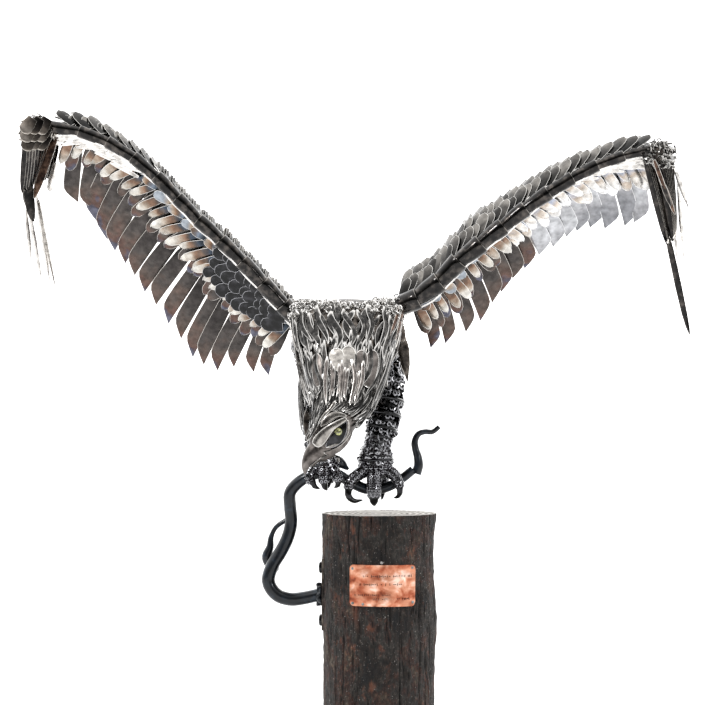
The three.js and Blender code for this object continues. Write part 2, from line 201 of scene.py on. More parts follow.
def along(values, t):
    """Reads a list of evenly spaced values at t, from 0 at its start to 1 at its end."""
    place = min(max(t, 0.0), 1.0) * (len(values) - 1)
    index = min(int(place), len(values) - 2)
    return values[index] + (values[index + 1] - values[index]) * (place - index)


class Line:
    """A smooth line through points in millimetres, the same curve as the CAD's."""

    def __init__(self, points):
        self.points = [Vector(point) * MM for point in points]
        self.steps = 200
        self.reach = [0.0]
        last = self.at(0)
        for i in range(1, self.steps + 1):
            point = self.at(i / self.steps)
            self.reach.append(self.reach[-1] + (point - last).length)
            last = point
        self.length = self.reach[-1]

    def at(self, t):
        """The point at t, which counts the given points as evenly spaced."""
        points = self.points
        place = min(max(t, 0.0), 1.0) * (len(points) - 1)
        index = min(int(place), len(points) - 2)
        b, c = points[index], points[index + 1]
        a = points[index - 1] if index > 0 else b * 2 - c
        d = points[index + 2] if index + 2 < len(points) else c * 2 - b
        before, here, after = [(q - p).length ** 0.5 for p, q in ((a, b), (b, c), (c, d))]
        leave = ((b - a) / before - (c - a) / (before + here) + (c - b) / here) * here
        arrive = ((c - b) / here - (d - b) / (here + after) + (d - c) / after) * here
        w = place - index
        bend = b * -3 + c * 3 - leave * 2 - arrive
        close = b * 2 - c * 2 + leave + arrive
        return b + leave * w + bend * w * w + close * w * w * w

    def at_reach(self, share):
        """The point at a share of the line's real length."""
        wanted = min(max(share, 0.0), 1.0) * self.length
        low = 0
        while low < self.steps - 1 and self.reach[low + 1] < wanted:
            low += 1
        span = self.reach[low + 1] - self.reach[low]
        return self.at((low + (wanted - self.reach[low]) / max(span, 1e-9)) / self.steps)

    def ahead(self, t):
        """The way the line runs at t."""
        return (self.at(t + 0.004) - self.at(t - 0.004)).normalized()


class Wing:
    """The humped wing: u runs from shoulder to wrist, v from the pipe to the points. arm
    is the pipe's line and tips the line of the feather points. lift and back raise the
    hump and move it back, in millimetres, and lean swings the feathers outward."""

    def __init__(self, side, outward, feathers, arm, tips, lift, back, lean, arm_radius):
        self.side, self.outward, self.feathers = side, outward, feathers
        self.arm, self.tips = Line(arm), Line(tips)
        self.lift, self.back, self.lean, self.arm_radius = lift, back, lean, arm_radius

    def point(self, u, v):
        """A point on the curve that runs from the pipe, over the hump, to the points."""
        u = min(max(u, 0.001), 0.999)
        arm = self.arm.at_reach(u - self.lean * math.sin(math.pi * u ** 1.15))
        tip = self.tips.at(u)
        crown = arm.lerp(tip, 0.35)
        crown.y = arm.y + along(self.back, u) * MM
        crown.z = arm.z + along(self.lift, u) * MM
        return arm * (1 - v) ** 2 + crown * 2 * v * (1 - v) + tip * v ** 2

    def outwards(self, u, v):
        """The way towards the wrist."""
        return (self.point(u + 0.01, v) - self.point(u - 0.01, v)).normalized()

    def trailing(self, u, v):
        """The way back towards the feather points."""
        return (self.point(u, v + 0.01) - self.point(u, v - 0.01)).normalized()

    def top(self, u, v):
        """The direction away from the upper side of the wing."""
        return (self.outwards(u, v).cross(self.trailing(u, v)) * self.outward).normalized()

    def above(self, u, v, lift):
        """A place on the upper side: the point, the ways back, outwards and off it."""
        face = self.top(u, v)
        return self.point(u, v) + face * lift, self.trailing(u, v), self.outwards(u, v), face

    def below(self, u, share, drop):
        """A place on the flat underside, share of the way down a flight feather."""
        quill, under = 0.34, 9 * MM    # where the flight feathers root, and how far below
        ends = []
        for near in (u - 0.01, u, u + 0.01):
            root = self.point(near, quill) - self.top(near, quill) * under
            ends.append((root, self.point(near, 1.0) - self.top(near, 1.0) * under))
        places = [root.lerp(tip, share) for root, tip in ends]
        outwards = (places[2] - places[0]).normalized()
        ahead = (ends[1][1] - ends[1][0]).normalized()
        face = (ahead.cross(outwards) * self.outward).normalized()
        return places[1] + face * drop, ahead, outwards, face


RIGHT_WING = Wing(
    "right", -1, 17,
    [(-222, -74, 1308), (-340, -100, 1432), (-432, -115, 1529), (-549, -125, 1638),
     (-653, -130, 1747), (-759, -130, 1830), (-866, -125, 1880), (-968, -115, 1899)],
    [(-292, 120, 1151), (-420, 150, 1172), (-547, 168, 1185), (-640, 172, 1315),
     (-720, 163, 1425), (-800, 148, 1530), (-861, 118, 1650), (-955, 72, 1695)],
    (40, 95, 110, 80), (110, 130, 130, 90), 0.15, (26, 20, 18, 16.5))
LEFT_WING = Wing(
    "left", 1, 16,
    [(38, -76, 1358), (146, -95, 1411), (231, -110, 1497), (346, -120, 1588),
     (476, -125, 1688), (615, -125, 1771), (713, -120, 1810), (800, -115, 1830)],
    [(125, 150, 1230), (225, 175, 1255), (325, 190, 1340), (405, 190, 1438),
     (475, 178, 1512), (560, 158, 1568), (637, 138, 1605), (745, 110, 1614),
     (847, 80, 1636)],
    (190, 255, 170, 60), (150, 160, 140, 90), 0.075, (30, 26, 19, 13.5))


# ---------------------------------------------------------------- finishes

def colour(code):
    """An sRGB hex colour as linear values."""
    parts = [int(code[i:i + 2], 16) / 255 for i in (0, 2, 4)]
    linear = [p / 12.92 if p <= 0.04045 else ((p + 0.055) / 1.055) ** 2.4 for p in parts]
    return (*linear, 1.0)


def add(tree, kind, settings=(), links=()):
    """Adds a shader node. Settings name its sockets or its own values."""
    made = tree.nodes.new("ShaderNode" + kind)
    for key, value in dict(settings).items():
        if key == "stops":
            ramp = made.color_ramp.elements
            while len(ramp) < len(value):
                ramp.new(1.0)
            for stop, (place, code) in zip(ramp, value):
                stop.position = place
                stop.color = colour(code)
        elif isinstance(key, int) or key[0].isupper():
            made.inputs[key].default_value = value
        else:
            setattr(made, key, value)
    for key, source in dict(links).items():
        tree.links.new(source, made.inputs[key])
    return made


def new_finish(name):
    """An empty material with its surface shader: returns the material, its tree and it."""
    finish = bpy.data.materials.new(name)
    finish.use_nodes = True
    tree = finish.node_tree
    return finish, tree, tree.nodes["Principled BSDF"]


def grain(tree, size_mm, detail=3.0, stretch=(1, 1, 1), **settings):
    """Noise whose spots are about size_mm across, measured on the object."""
    place = add(tree, "TexCoord").outputs["Object"]
    mapped = add(tree, "Mapping", {"Scale": stretch}, {"Vector": place})
    return add(tree, "TexNoise", {"Scale": 1 / (size_mm * MM * 2), "Detail": detail, **settings},
               {"Vector": mapped.outputs["Vector"]}).outputs["Fac"]


def attribute(tree, name):
    """Reads a number that mark_points wrote on the mesh."""
    return add(tree, "Attribute", {"attribute_name": name}).outputs["Fac"]


def ground_rim_and_highlight(tree, skin, face_colour, face_rough, rim_and_highlight_code, rim_rough=0.2):
    """The edge of a plate, painted brighter and smoother than its face: partly the bare ground
    edge, partly a painted highlight.
    """
    edge = add(tree, "MapRange", {"From Min": 0.35, "From Max": 0.8},
               {"Value": attribute(tree, "rim")}).outputs["Result"]
    shade = add(tree, "MixRGB", {"Color2": colour(rim_and_highlight_code)},
                {"Fac": edge, "Color1": face_colour})
    rough = add(tree, "MapRange", {"To Max": rim_rough}, {"Value": edge, "To Min": face_rough})
    tree.links.new(shade.outputs["Color"], skin.inputs["Base Color"])
    tree.links.new(rough.outputs["Result"], skin.inputs["Roughness"])


def forged_steel(name, stops, rim_and_highlight_code, shine=(0.2, 0.45), dent_mm=7, oil=0.15):
    """Mild steel, forged, blackened and oiled: patches worn down to grey, hammer dents
    that break up its highlights, edges painted bright, partly as ground metal and partly as
    painted highlight, and a film of clear oil or wax."""
    finish, tree, skin = new_finish(name)
    patches = add(tree, "ValToRGB", {"stops": stops}, {"Fac": grain(tree, 10, 6.0)})
    rough = add(tree, "MapRange", {"To Min": shine[0], "To Max": shine[1]},
                {"Value": grain(tree, 5)})
    dents = add(tree, "Bump", {"Strength": 0.6, "Distance": 1.2 * MM},
                {"Height": grain(tree, dent_mm, 2.0)})
    skin.inputs["Metallic"].default_value = 1.0
    skin.inputs["Coat Weight"].default_value = oil
    skin.inputs["Coat Roughness"].default_value = 0.12
    ground_rim_and_highlight(tree, skin, patches.outputs["Color"], rough.outputs["Result"], rim_and_highlight_code)
    tree.links.new(dents.outputs["Normal"], skin.inputs["Normal"])
    return finish


def tinted_sheet(name, stops, rim_and_highlight_code, drift, shine=(0.2, 0.42)):
    """Stainless sheet cut with a torch: bands of straw, bronze and blue run back from
    the heated end, and the cut edge is painted bright, partly as ground metal and partly as
    painted highlight.
    drift is how far the bands shift from plate to plate, as a share of its length."""
    finish, tree, skin = new_finish(name)
    mapped = add(tree, "UVMap", {"uv_map": "plate"}).outputs["UV"]
    length = add(tree, "SeparateXYZ", {}, {"Vector": mapped}).outputs["Y"]
    cloud = add(tree, "MapRange", {"To Min": -0.18, "To Max": 0.18, "From Min": 0.25,
                                   "From Max": 0.75}, {"Value": grain(tree, 22, 5.0)})
    shift = add(tree, "MapRange", {"To Min": -drift, "To Max": drift},
                {"Value": attribute(tree, "tone")})
    shifted = add(tree, "Math", {"operation": "ADD"}, {0: length, 1: shift.outputs["Result"]})
    place = add(tree, "Math", {"operation": "ADD"},
                {0: shifted.outputs[0], 1: cloud.outputs["Result"]})
    bands = add(tree, "ValToRGB", {"stops": stops}, {"Fac": place.outputs[0]})
    soot = add(tree, "MapRange", {"From Min": 0.3, "From Max": 0.7, "To Min": 0.6, "To Max": 1.15},
               {"Value": grain(tree, 9, 6.0)})
    sooty = add(tree, "MixRGB", {"blend_type": "MULTIPLY", "Fac": 1.0},
                {"Color1": bands.outputs["Color"], "Color2": soot.outputs["Result"]})
    rough = add(tree, "MapRange", {"To Min": shine[0], "To Max": shine[1]},
                {"Value": grain(tree, 6)})
    waves = add(tree, "Bump", {"Strength": 0.3, "Distance": 1.2 * MM},
                {"Height": grain(tree, 16, 2.0)})
    skin.inputs["Metallic"].default_value = 1.0
    ground_rim_and_highlight(tree, skin, sooty.outputs["Color"], rough.outputs["Result"], rim_and_highlight_code)
    tree.links.new(waves.outputs["Normal"], skin.inputs["Normal"])
    return finish


def painted_pipe():
    """Steel handrail tube bent hot and painted blue-black: semi-gloss, with worn and
    dusty patches."""
    finish, tree, skin = new_finish("blue_black_paint")
    patches = add(tree, "ValToRGB", {"stops": [(0.3, "05070a"), (0.55, "0d131a"),
                                               (0.75, "24303c")]},
                  {"Fac": grain(tree, 12, 6.0)})
    rough = add(tree, "MapRange", {"To Min": 0.25, "To Max": 0.5}, {"Value": grain(tree, 5)})
    skin.inputs["Metallic"].default_value = 0.35
    skin.inputs["Specular IOR Level"].default_value = 0.3
    skin.inputs["Coat Weight"].default_value = 0.3
    skin.inputs["Coat Roughness"].default_value = 0.1
    runs = add(tree, "Bump", {"Strength": 0.35, "Distance": 0.8 * MM},
               {"Height": grain(tree, 7, 3.0)})
    tree.links.new(patches.outputs["Color"], skin.inputs["Base Color"])
    tree.links.new(rough.outputs["Result"], skin.inputs["Roughness"])
    tree.links.new(runs.outputs["Normal"], skin.inputs["Normal"])
    return finish


def charred_timber():
    """Charred hardwood left out in the weather: black, brown and dull red patches of
    upright fibre, rough with char, speckled with pale ash, darkened with painted shade in
    its checks, splits and ridge troughs, and stained orange where rust and copper have run."""
    finish, tree, skin = new_finish("charred_timber")
    fibre = grain(tree, 1.7, 9.0, (1, 1, 0.22), Roughness=0.72)
    char = grain(tree, 5, 8.0, (1, 1, 0.7), Roughness=0.72)
    mixed = add(tree, "Math", {"operation": "ADD"}, {0: fibre, 1: char})
    height = add(tree, "Math", {"operation": "MULTIPLY", 1: 0.5}, {0: mixed.outputs[0]})
    value = add(tree, "ValToRGB", {"stops": [(0.38, "0c0b0b"), (0.48, "3a3736"),
                                             (0.56, "7d7875"), (0.64, "cfcac5")]},
                {"Fac": height.outputs[0]})
    patches = add(tree, "ValToRGB", {"stops": [(0.36, "161517"), (0.44, "33271f"),
                                               (0.5, "4a4844"), (0.56, "4e2f25"),
                                               (0.64, "6b6052")]},
                  {"Fac": grain(tree, 38, 8.0, (1, 1, 0.6), Roughness=0.62)})
    wood = add(tree, "MixRGB", {"blend_type": "OVERLAY", "Fac": 0.9},
               {"Color1": patches.outputs["Color"], "Color2": value.outputs["Color"]})
    foxing = add(tree, "ValToRGB", {"stops": [(0.58, "000000"), (0.68, "ffffff")]},
                 {"Fac": grain(tree, 20, 9.0, (1, 1, 0.6), Roughness=0.7)})
    stained = add(tree, "Math", {"operation": "MAXIMUM"},
                  {0: foxing.outputs["Color"], 1: attribute(tree, "stain")})
    amount = add(tree, "Math", {"operation": "MULTIPLY", 1: 0.32}, {0: stained.outputs[0]})
    foxed = add(tree, "MixRGB", {"Color2": colour("80492f")},
                {"Fac": amount.outputs[0], "Color1": wood.outputs["Color"]})
    ash = add(tree, "MapRange", {"From Min": 0.67, "From Max": 0.74, "To Max": 0.75},
              {"Value": grain(tree, 1.5, 3.0, (1, 1, 0.6))})
    speckled = add(tree, "MixRGB", {"Color2": colour("b5afa9")},
                   {"Fac": ash.outputs["Result"], "Color1": foxed.outputs["Color"]})
    # painted shade: the post is darkened in its checks, splits and ridge troughs, more where they
    # are deeper
    dark = add(tree, "MixRGB", {"Color2": colour("060505")},
               {"Fac": attribute(tree, "crack"), "Color1": speckled.outputs["Color"]})
    checks = add(tree, "Bump", {"Strength": 1.0, "Distance": 6.0 * MM},
                 {"Height": height.outputs[0]})
    skin.inputs["Roughness"].default_value = 0.7
    skin.inputs["Specular IOR Level"].default_value = 0.3
    tree.links.new(dark.outputs["Color"], skin.inputs["Base Color"])
    tree.links.new(checks.outputs["Normal"], skin.inputs["Normal"])
    return finish


def end_grain():
    """The sawn end of the post, silvered by weather, with faint rings."""
    finish, tree, skin = new_finish("silvered_end_grain")
    place = add(tree, "TexCoord").outputs["Object"]
    rings = add(tree, "TexWave", {"wave_type": "RINGS", "rings_direction": "Z",
                                  "Scale": 1 / (9 * MM * 6.28), "Distortion": 3.0,
                                  "Detail": 3.0}, {"Vector": place})
    mixed = add(tree, "MixRGB", {"Fac": 0.7}, {"Color1": rings.outputs["Fac"],
                                               "Color2": grain(tree, 6, 6.0)})
    shade = add(tree, "ValToRGB", {"stops": [(0.3, "5f5a54"), (0.5, "a6a29b"), (0.7, "d6d3ce")]},
                {"Fac": mixed.outputs["Color"]})
    skin.inputs["Roughness"].default_value = 0.85
    tree.links.new(shade.outputs["Color"], skin.inputs["Base Color"])
    return finish


def copper_sheet():
    """Hand-cut copper sheet: salmon pink where it is rubbed, with darker red patches and
    near-white pink patches of painted highlight.
    """
    finish, tree, skin = new_finish("rubbed_copper_and_painted_sheen")
    # the palest stop, near-white pink, is painted highlight; the darker stops are the copper's own
    # colours
    patches = add(tree, "ValToRGB", {"stops": [(0.3, "5c2a1e"), (0.42, "a3593f"),
                                               (0.55, "cb8d70"), (0.7, "f2d4c4")]},
                  {"Fac": grain(tree, 22, 6.0, (1, 1, 1.3), Distortion=0.4)})
    rough = add(tree, "MapRange", {"To Min": 0.25, "To Max": 0.5}, {"Value": grain(tree, 5)})
    dents = add(tree, "Bump", {"Strength": 0.5, "Distance": 1.0 * MM},
                {"Height": grain(tree, 12, 3.0)})
    skin.inputs["Metallic"].default_value = 0.85
    tree.links.new(patches.outputs["Color"], skin.inputs["Base Color"])
    tree.links.new(rough.outputs["Result"], skin.inputs["Roughness"])
    tree.links.new(dents.outputs["Normal"], skin.inputs["Normal"])
    return finish


def galvanised():
    """Galvanised steel, dulled outdoors: grey with soft spangle."""
    finish, tree, skin = new_finish("galvanised_steel")
    patches = add(tree, "ValToRGB", {"stops": [(0.35, "5b5a58"), (0.65, "a3a29f")]},
                  {"Fac": grain(tree, 6, 4.0)})
    skin.inputs["Metallic"].default_value = 0.9
    skin.inputs["Roughness"].default_value = 0.45
    tree.links.new(patches.outputs["Color"], skin.inputs["Base Color"])
    return finish


def eye_glass():
    """A glass cabochon eye, yellow-green with a darker cloudy ring."""
    finish, tree, skin = new_finish("yellow_green_glass")
    cloud = add(tree, "ValToRGB", {"stops": [(0.35, "2e2c12"), (0.5, "6f7036"),
                                               (0.65, "b4b673")]},
                {"Fac": grain(tree, 3, 2.0)})
    skin.inputs["Roughness"].default_value = 0.05
    skin.inputs["Coat Weight"].default_value = 1.0
    tree.links.new(cloud.outputs["Color"], skin.inputs["Base Color"])
    return finish


# steel blackened in the forge and waxed: dull, nearly black, worn to brown-grey
BLACK = forged_steel("blackened_steel", [
    (0.3, "151312"), (0.48, "35302c"), (0.62, "57514b"), (0.78, "7d756c")], "d8d4ce")
# the same, oiled until it shines: near black, with small hard glints
GLOSSY = forged_steel("glossy_black_plate", [
    (0.3, "080808"), (0.5, "141415"), (0.7, "2e2e31")], "a4a4a8",
    shine=(0.08, 0.25), oil=0.4)
# sheet left to rust before it was waxed: dark warm brown
BROWN = forged_steel("rust_brown_plate", [
    (0.3, "231b18"), (0.48, "45352d"), (0.62, "6a5447"), (0.78, "8a786c")], "d8d4ce")
# sheet ground back to bare metal: nearly white where it faces the sky
BRIGHT = forged_steel("ground_steel", [
    (0.3, "8c8884"), (0.6, "d8d5d1")], "f4f2ef", shine=(0.15, 0.35))
# tube beaten over a former and oiled: black, with long soft lights
PIPE_STEEL = forged_steel("oiled_pipe_steel", [
    (0.3, "0d0c0c"), (0.5, "1d1b1a"), (0.7, "4b4642")], "a8a39c",
    shine=(0.1, 0.25), dent_mm=16, oil=0.35)
PAINT = painted_pipe()
TIMBER = charred_timber()
COPPER = copper_sheet()
ZINC = galvanised()
EYE = eye_glass()
END_GRAIN = end_grain()
# narrow strip beaten wavy: black in its hollows, with a grey edge, partly ground metal and partly
# painted highlight
STRAND_STEEL = forged_steel("beaten_strip_steel", [
    (0.3, "0d0d0d"), (0.48, "232221"), (0.64, "484644"), (0.8, "85827e")], "aba9a6",
    shine=(0.1, 0.34), dent_mm=9)
# plate rubbed with a wire wheel: an even, soft mid grey
BEAK_STEEL = forged_steel("burnished_plate_steel", [
    (0.3, "322f2d"), (0.5, "544f4c"), (0.7, "77716d")], "cfccc8",
    shine=(0.2, 0.4), dent_mm=14)
# plate hammered bright: pale grey, broken up by small dents
BROW_STEEL = forged_steel("hammered_bright_steel", [
    (0.3, "5a5754"), (0.55, "8f8b86"), (0.75, "bdb9b4")], "d6d4d0",
    shine=(0.14, 0.34), dent_mm=8)
# drawn wire and swarf: dark, with a near-white rim colour that paints the highlight along each
# curl
WIRE = forged_steel("drawn_wire_painted_highlight", [
    (0.3, "1c1b1a"), (0.5, "55524f"), (0.7, "a5a29e")], "dedcd9",
    shine=(0.1, 0.3), dent_mm=9, oil=0.5)
# short coverts heated unevenly: blue, bronze and silver from plate to plate
MIXED_COVERT = tinted_sheet("mixed_tint_covert_sheet", [
    (0.0, "33383e"), (0.25, "6b7480"), (0.45, "5b5049"), (0.6, "7f6552"),
    (0.78, "9a8c7e"), (1.0, "8f959c")], "dedcd8", drift=0.55, shine=(0.15, 0.35))
# flight feathers cut with a torch: sooty grey that turns brown, then blue, at the point
FLIGHT = tinted_sheet("torch_cut_flight_sheet", [
    (0.0, "262524"), (0.3, "3b3837"), (0.55, "4c4846"), (0.74, "584e49"),
    (0.88, "5f4c46"), (0.97, "524f58"), (1.0, "5c5c68")], "cfcac4", drift=0.22)
# the pale outer flight feathers: milled stainless, painted cloudy light grey as a painted sky
# reflection
FLIGHT_PAINTED_REFLECTION = tinted_sheet("flight_sheet_painted_sky_reflection", [
    (0.0, "8d8d8f"), (0.4, "b9babd"), (0.75, "9a9a9d"), (1.0, "85868a")], "f2f2f2",
    drift=0.5, shine=(0.25, 0.45))
# long coverts heated at the root: blue-grey, then straw brown, then bare silver ends
COVERT = tinted_sheet("heat_tinted_covert_sheet", [
    (0.0, "2e3237"), (0.2, "434b56"), (0.36, "5a4f48"), (0.5, "785f50"),
    (0.66, "958678"), (0.82, "bab5ad"), (1.0, "cfccc6")], "eceae6",
    drift=0.17, shine=(0.15, 0.35))
# the same near the wrist, polished, painted almost white with a breath of blue and straw as a
# painted sky reflection
COVERT_PAINTED_REFLECTION = tinted_sheet("covert_sheet_painted_sky_reflection", [
    (0.0, "8b93a3"), (0.3, "a2a6b2"), (0.5, "b3a699"), (0.7, "cfcbc6"), (1.0, "e6e6e6")],
    "fafafa", drift=0.3, shine=(0.18, 0.36))
# scales on the back of the wing: dark grey, each a little paler at its end
SCALE = tinted_sheet("dark_scale_sheet", [
    (0.0, "121212"), (0.4, "272625"), (0.7, "413f3d"), (1.0, "6b6864")], "c4c2be",
    drift=0.35, shine=(0.18, 0.4))
# scales on the wrist, worn by weather: brown-grey
WORN = tinted_sheet("worn_wrist_sheet", [
    (0.0, "1c1a19"), (0.4, "443f3b"), (0.7, "6e665e"), (1.0, "9a928a")], "cfc9c0",
    drift=0.35, shine=(0.2, 0.42))


# ---------------------------------------------------------------- cut sheet patterns

def flat_pattern(name, rows, cup):
    """A flat shape of unit length along Y, rooted at the origin. Each row is (place
    along Y, left edge, right edge). cup raises its middle."""
    bpy.ops.object.select_all(action="DESELECT")
    bpy.ops.mesh.primitive_grid_add(x_subdivisions=2, y_subdivisions=len(rows) - 1, size=1)
    piece = new_piece(name)
    levels = sorted({round(vertex.co.y, 4) for vertex in piece.data.vertices})
    aside = 5    # a row that is done is set this far off, so that it isn't picked again
    bpy.ops.object.mode_set(mode="EDIT")
    for level, (place, left, right) in zip(levels, rows):
        pick(piece, "VERT", lambda part: abs(part.co.y - level) < 1e-3)
        bpy.ops.transform.resize(value=(right - left, 1, 1), center_override=(0, level, 0))
        bpy.ops.transform.translate(value=((left + right) / 2, place - level + aside, 0))
        pick(piece, "VERT", lambda part: abs(part.co.y - place - aside) < 1e-4
             and abs(part.co.x - (left + right) / 2) < 0.2 * (right - left))
        bpy.ops.transform.translate(value=(0, 0, cup))
    bpy.ops.mesh.select_all(action="SELECT")
    bpy.ops.transform.translate(value=(0, -aside, 0))
    bpy.ops.object.mode_set(mode="OBJECT")
    return piece


def sized_plate(pattern, length, width, thickness=1.6 * MM, rim=2.0 * MM):
    """A plate of real size from a flat pattern, with a rim round its edge that is painted
    brighter, partly as ground metal and partly as highlight, and its length from 0 to 1 kept as a
    UV map."""
    only(pattern)
    bpy.ops.object.duplicate()
    plate = bpy.context.object
    bpy.ops.object.mode_set(mode="EDIT")
    bpy.ops.mesh.select_all(action="SELECT")
    bpy.ops.transform.resize(value=(width, length, length), center_override=(0, 0, 0))
    bpy.ops.mesh.inset(thickness=rim, use_boundary=True)
    bpy.ops.object.mode_set(mode="OBJECT")
    mesh = plate.data
    uses = {}
    for face in mesh.polygons:
        for key in face.edge_keys:
            uses[key] = uses.get(key, 0) + 1
    border = {index for key, count in uses.items() if count == 1 for index in key}
    mark_points(mesh, "rim", [float(i in border) for i in range(len(mesh.vertices))])
    for layer in list(mesh.uv_layers):
        mesh.uv_layers.remove(layer)
    mapped = mesh.uv_layers.new(name="plate")
    for loop in mesh.loops:
        point = mesh.vertices[loop.vertex_index].co
        mapped.data[loop.index].uv = (point.x / width + 0.5, point.y / length)
    modify(plate, "SOLIDIFY", thickness=thickness, offset=0)
    smooth(plate, 40)
    return plate


ROUNDED_ROWS = [
    (0.0, -0.36, 0.36), (0.35, -0.47, 0.47), (0.7, -0.5, 0.5), (0.88, -0.41, 0.41),
    (0.97, -0.22, 0.22), (1.0, -0.08, 0.08)]
LEAF_ROWS = [
    (0.0, -0.1, 0.1), (0.16, -0.36, 0.36), (0.4, -0.5, 0.5), (0.68, -0.38, 0.38),
    (0.88, -0.16, 0.16), (1.0, -0.03, 0.03)]
ROUNDED = flat_pattern("rounded_plate", ROUNDED_ROWS, 0.04)
POINTED = flat_pattern("pointed_plate", [
    (0.0, 0.1, 0.62), (0.3, 0.0, 0.92), (0.6, 0.0, 1.0), (0.74, 0.0, 1.0), (0.82, 0.0, 0.95),
    (0.88, 0.0, 0.76), (0.94, 0.0, 0.42), (1.0, 0.0, 0.03)], 0.008)
BLADE = flat_pattern("narrow_blade", [
    (0.0, -0.3, 0.3), (0.2, -0.46, 0.46), (0.55, -0.5, 0.5), (0.8, -0.44, 0.4),
    (0.93, -0.34, 0.2), (1.0, -0.2, -0.05)], 0.01)
LEAF = flat_pattern("leaf_plate", LEAF_ROWS, 0.03)

# Flat strips and plates of unit size, which laid() stretches along a route.
STRAND = flat_pattern("strand", [
    (0.0, -0.2, 0.2), (0.1, -0.44, 0.44), (0.25, -0.5, 0.5), (0.4, -0.5, 0.5),
    (0.55, -0.48, 0.48), (0.7, -0.42, 0.42), (0.85, -0.3, 0.3), (0.95, -0.16, 0.16),
    (1.0, -0.04, 0.04)], 0.0)
STRAND_PLATE = sized_plate(STRAND, 1.0, 1.0, 2.0 * MM, 0.16)
FLAT_LEAF = flat_pattern("flat_leaf", LEAF_ROWS, 0.0)
LEAF_PLATE = sized_plate(FLAT_LEAF, 1.0, 1.0, 2.4 * MM, 0.05)
BROW = flat_pattern("brow", [
    (0.0, -0.24, 0.24), (0.06, -0.42, 0.42), (0.2, -0.5, 0.5), (0.42, -0.38, 0.38),
    (0.6, -0.28, 0.28), (0.8, -0.22, 0.22), (0.94, -0.16, 0.16), (1.0, -0.06, 0.06)], 0.0)
BROW_PLATE = sized_plate(BROW, 1.0, 1.0, 3.0 * MM, 0.05)
FLAT_ROUNDED = flat_pattern("flat_rounded", ROUNDED_ROWS, 0.0)
BROAD_PLATE = sized_plate(FLAT_ROUNDED, 1.0, 1.0, 2.4 * MM, 0.06)


# ---------------------------------------------------------------- wings

def flight_feathers(wing, widths, painted_reflection_from):
    """The trailing row, each a straight blade cut from sheet: one edge runs straight to
    the point, and the other is clipped to meet it."""
    rng = random.Random(7)
    first, spread, jitter = 0.03, 0.93, 0.006
    for i in range(wing.feathers):
        node = f"{wing.side}_flight_feather_{i + 1:02d}"
        u = first + spread * (i + 0.5) / wing.feathers + rng.uniform(-jitter, jitter)
        root, _, outwards, face = wing.below(u, 0.0, 0.0)
        tip = wing.below(u, rng.uniform(0.93, 1.0), 0.0)[0]
        width = along(widths, u) * rng.uniform(0.93, 1.08) * MM
        plate = sized_plate(POINTED, (tip - root).length, width)
        swung = (tip - root).normalized() + outwards * rng.uniform(-0.05, 0.05)
        placing = stand(root, swung, face - outwards * 0.22, (-wing.outward, 1, 1))
        feather = copies(node + "_blade", plate, [(placing, rng.random())])
        scrap(plate)
        # the outer feathers take the pale sheet, painted light grey as a painted sky reflection
        fit_out(feather, FLIGHT_PAINTED_REFLECTION if i >= painted_reflection_from else FLIGHT, "tinted_steel", node)


def covert_row(spot, seed, root, turn, count, lift, tilt, spread, roll=0.12):
    """Places for one row of coverts. turn swings the plates outward from the line of
    the feathers, in degrees read along the wing, and tilt lifts their ends."""
    rng = random.Random(seed)
    places = []
    for i in range(count):
        u = spread[0] + (spread[1] - spread[0]) * (i + 0.5) / count
        point, back, outwards, face = spot(u, along(root, u) + rng.uniform(-0.012, 0.012), lift)
        swing = math.radians(along(turn, u) + rng.uniform(-6, 6))
        ahead = back * math.cos(swing) + outwards * math.sin(swing)
        ahead = (ahead - face * ahead.dot(face)).normalized()
        ahead = ahead * math.cos(tilt) + face * math.sin(tilt)
        size = rng.uniform(0.88, 1.12)
        places.append((stand(point, ahead, face - outwards * roll, (size, size, 1)),
                       rng.random()))
    return places


def under_coverts(wing, painted_reflection_from, ease, shift):
    """Three rows beneath the wing: short plates along the pipe, then long fingers, then
    broad ones that hide the roots of the flight feathers. Near the wrist they are polished
    and painted almost white as a painted sky reflection. ease lessens their outward swing
    and shift slides their roots down, both read along the wing."""
    rows = [
        # label, finish, length, width, root, turn, count, drop, tilt
        ("outer", FLIGHT, 118, 38, (0.02, 0.0, 0.0, 0.02), (8, 16, 16, 8), 22, 6, 2),
        ("middle", COVERT, 112, 28, (-0.06, -0.04, -0.06, -0.04), (22, 34, 32, 16), 27, 12, 4),
        ("inner", MIXED_COVERT, 70, 36, (-0.12, -0.09, -0.1, -0.12), (50, 74, 72, 50), 19,
         17, 5),
    ]
    for k, (label, finish, length, width, root, turn, count, drop, tilt) in enumerate(rows):
        plate = sized_plate(ROUNDED, length * MM, width * MM)
        turn = [swing * along(ease, i / 3) for i, swing in enumerate(turn)]
        root = [place + along(shift, i / 3) for i, place in enumerate(root)]
        stretches = [("", finish, 0.02, painted_reflection_from)]
        if painted_reflection_from < 0.97:
            stretches.append(("_pale", COVERT_PAINTED_REFLECTION, painted_reflection_from, 0.97))
        for part, made_of, start, end in stretches:
            places = covert_row(wing.below, 10 + k, root, turn,
                                max(1, round(count * (end - start))), drop * MM,
                                math.radians(tilt), (start, end))
            row = copies(f"{wing.side}_wing_{label}_under_coverts{part}", plate, places)
            fit_out(row, made_of, "tinted_steel")
        scrap(plate)


def shoulder_coverts(wing, count):
    """Black plates overlapped beneath the wing's root."""
    plate = sized_plate(ROUNDED, 62 * MM, 44 * MM)
    places = []
    for row in range(3):
        places += covert_row(wing.below, 70 + row, (-0.2 + 0.13 * row,) * 2, (60, 40, 40, 40),
                             count, (24 - 2 * row) * MM, math.radians(6), (0.03, 0.4))
    cluster = copies(f"{wing.side}_wing_black_shoulder_coverts", plate, places)
    scrap(plate)
    fit_out(cluster, GLOSSY, "dark_steel")


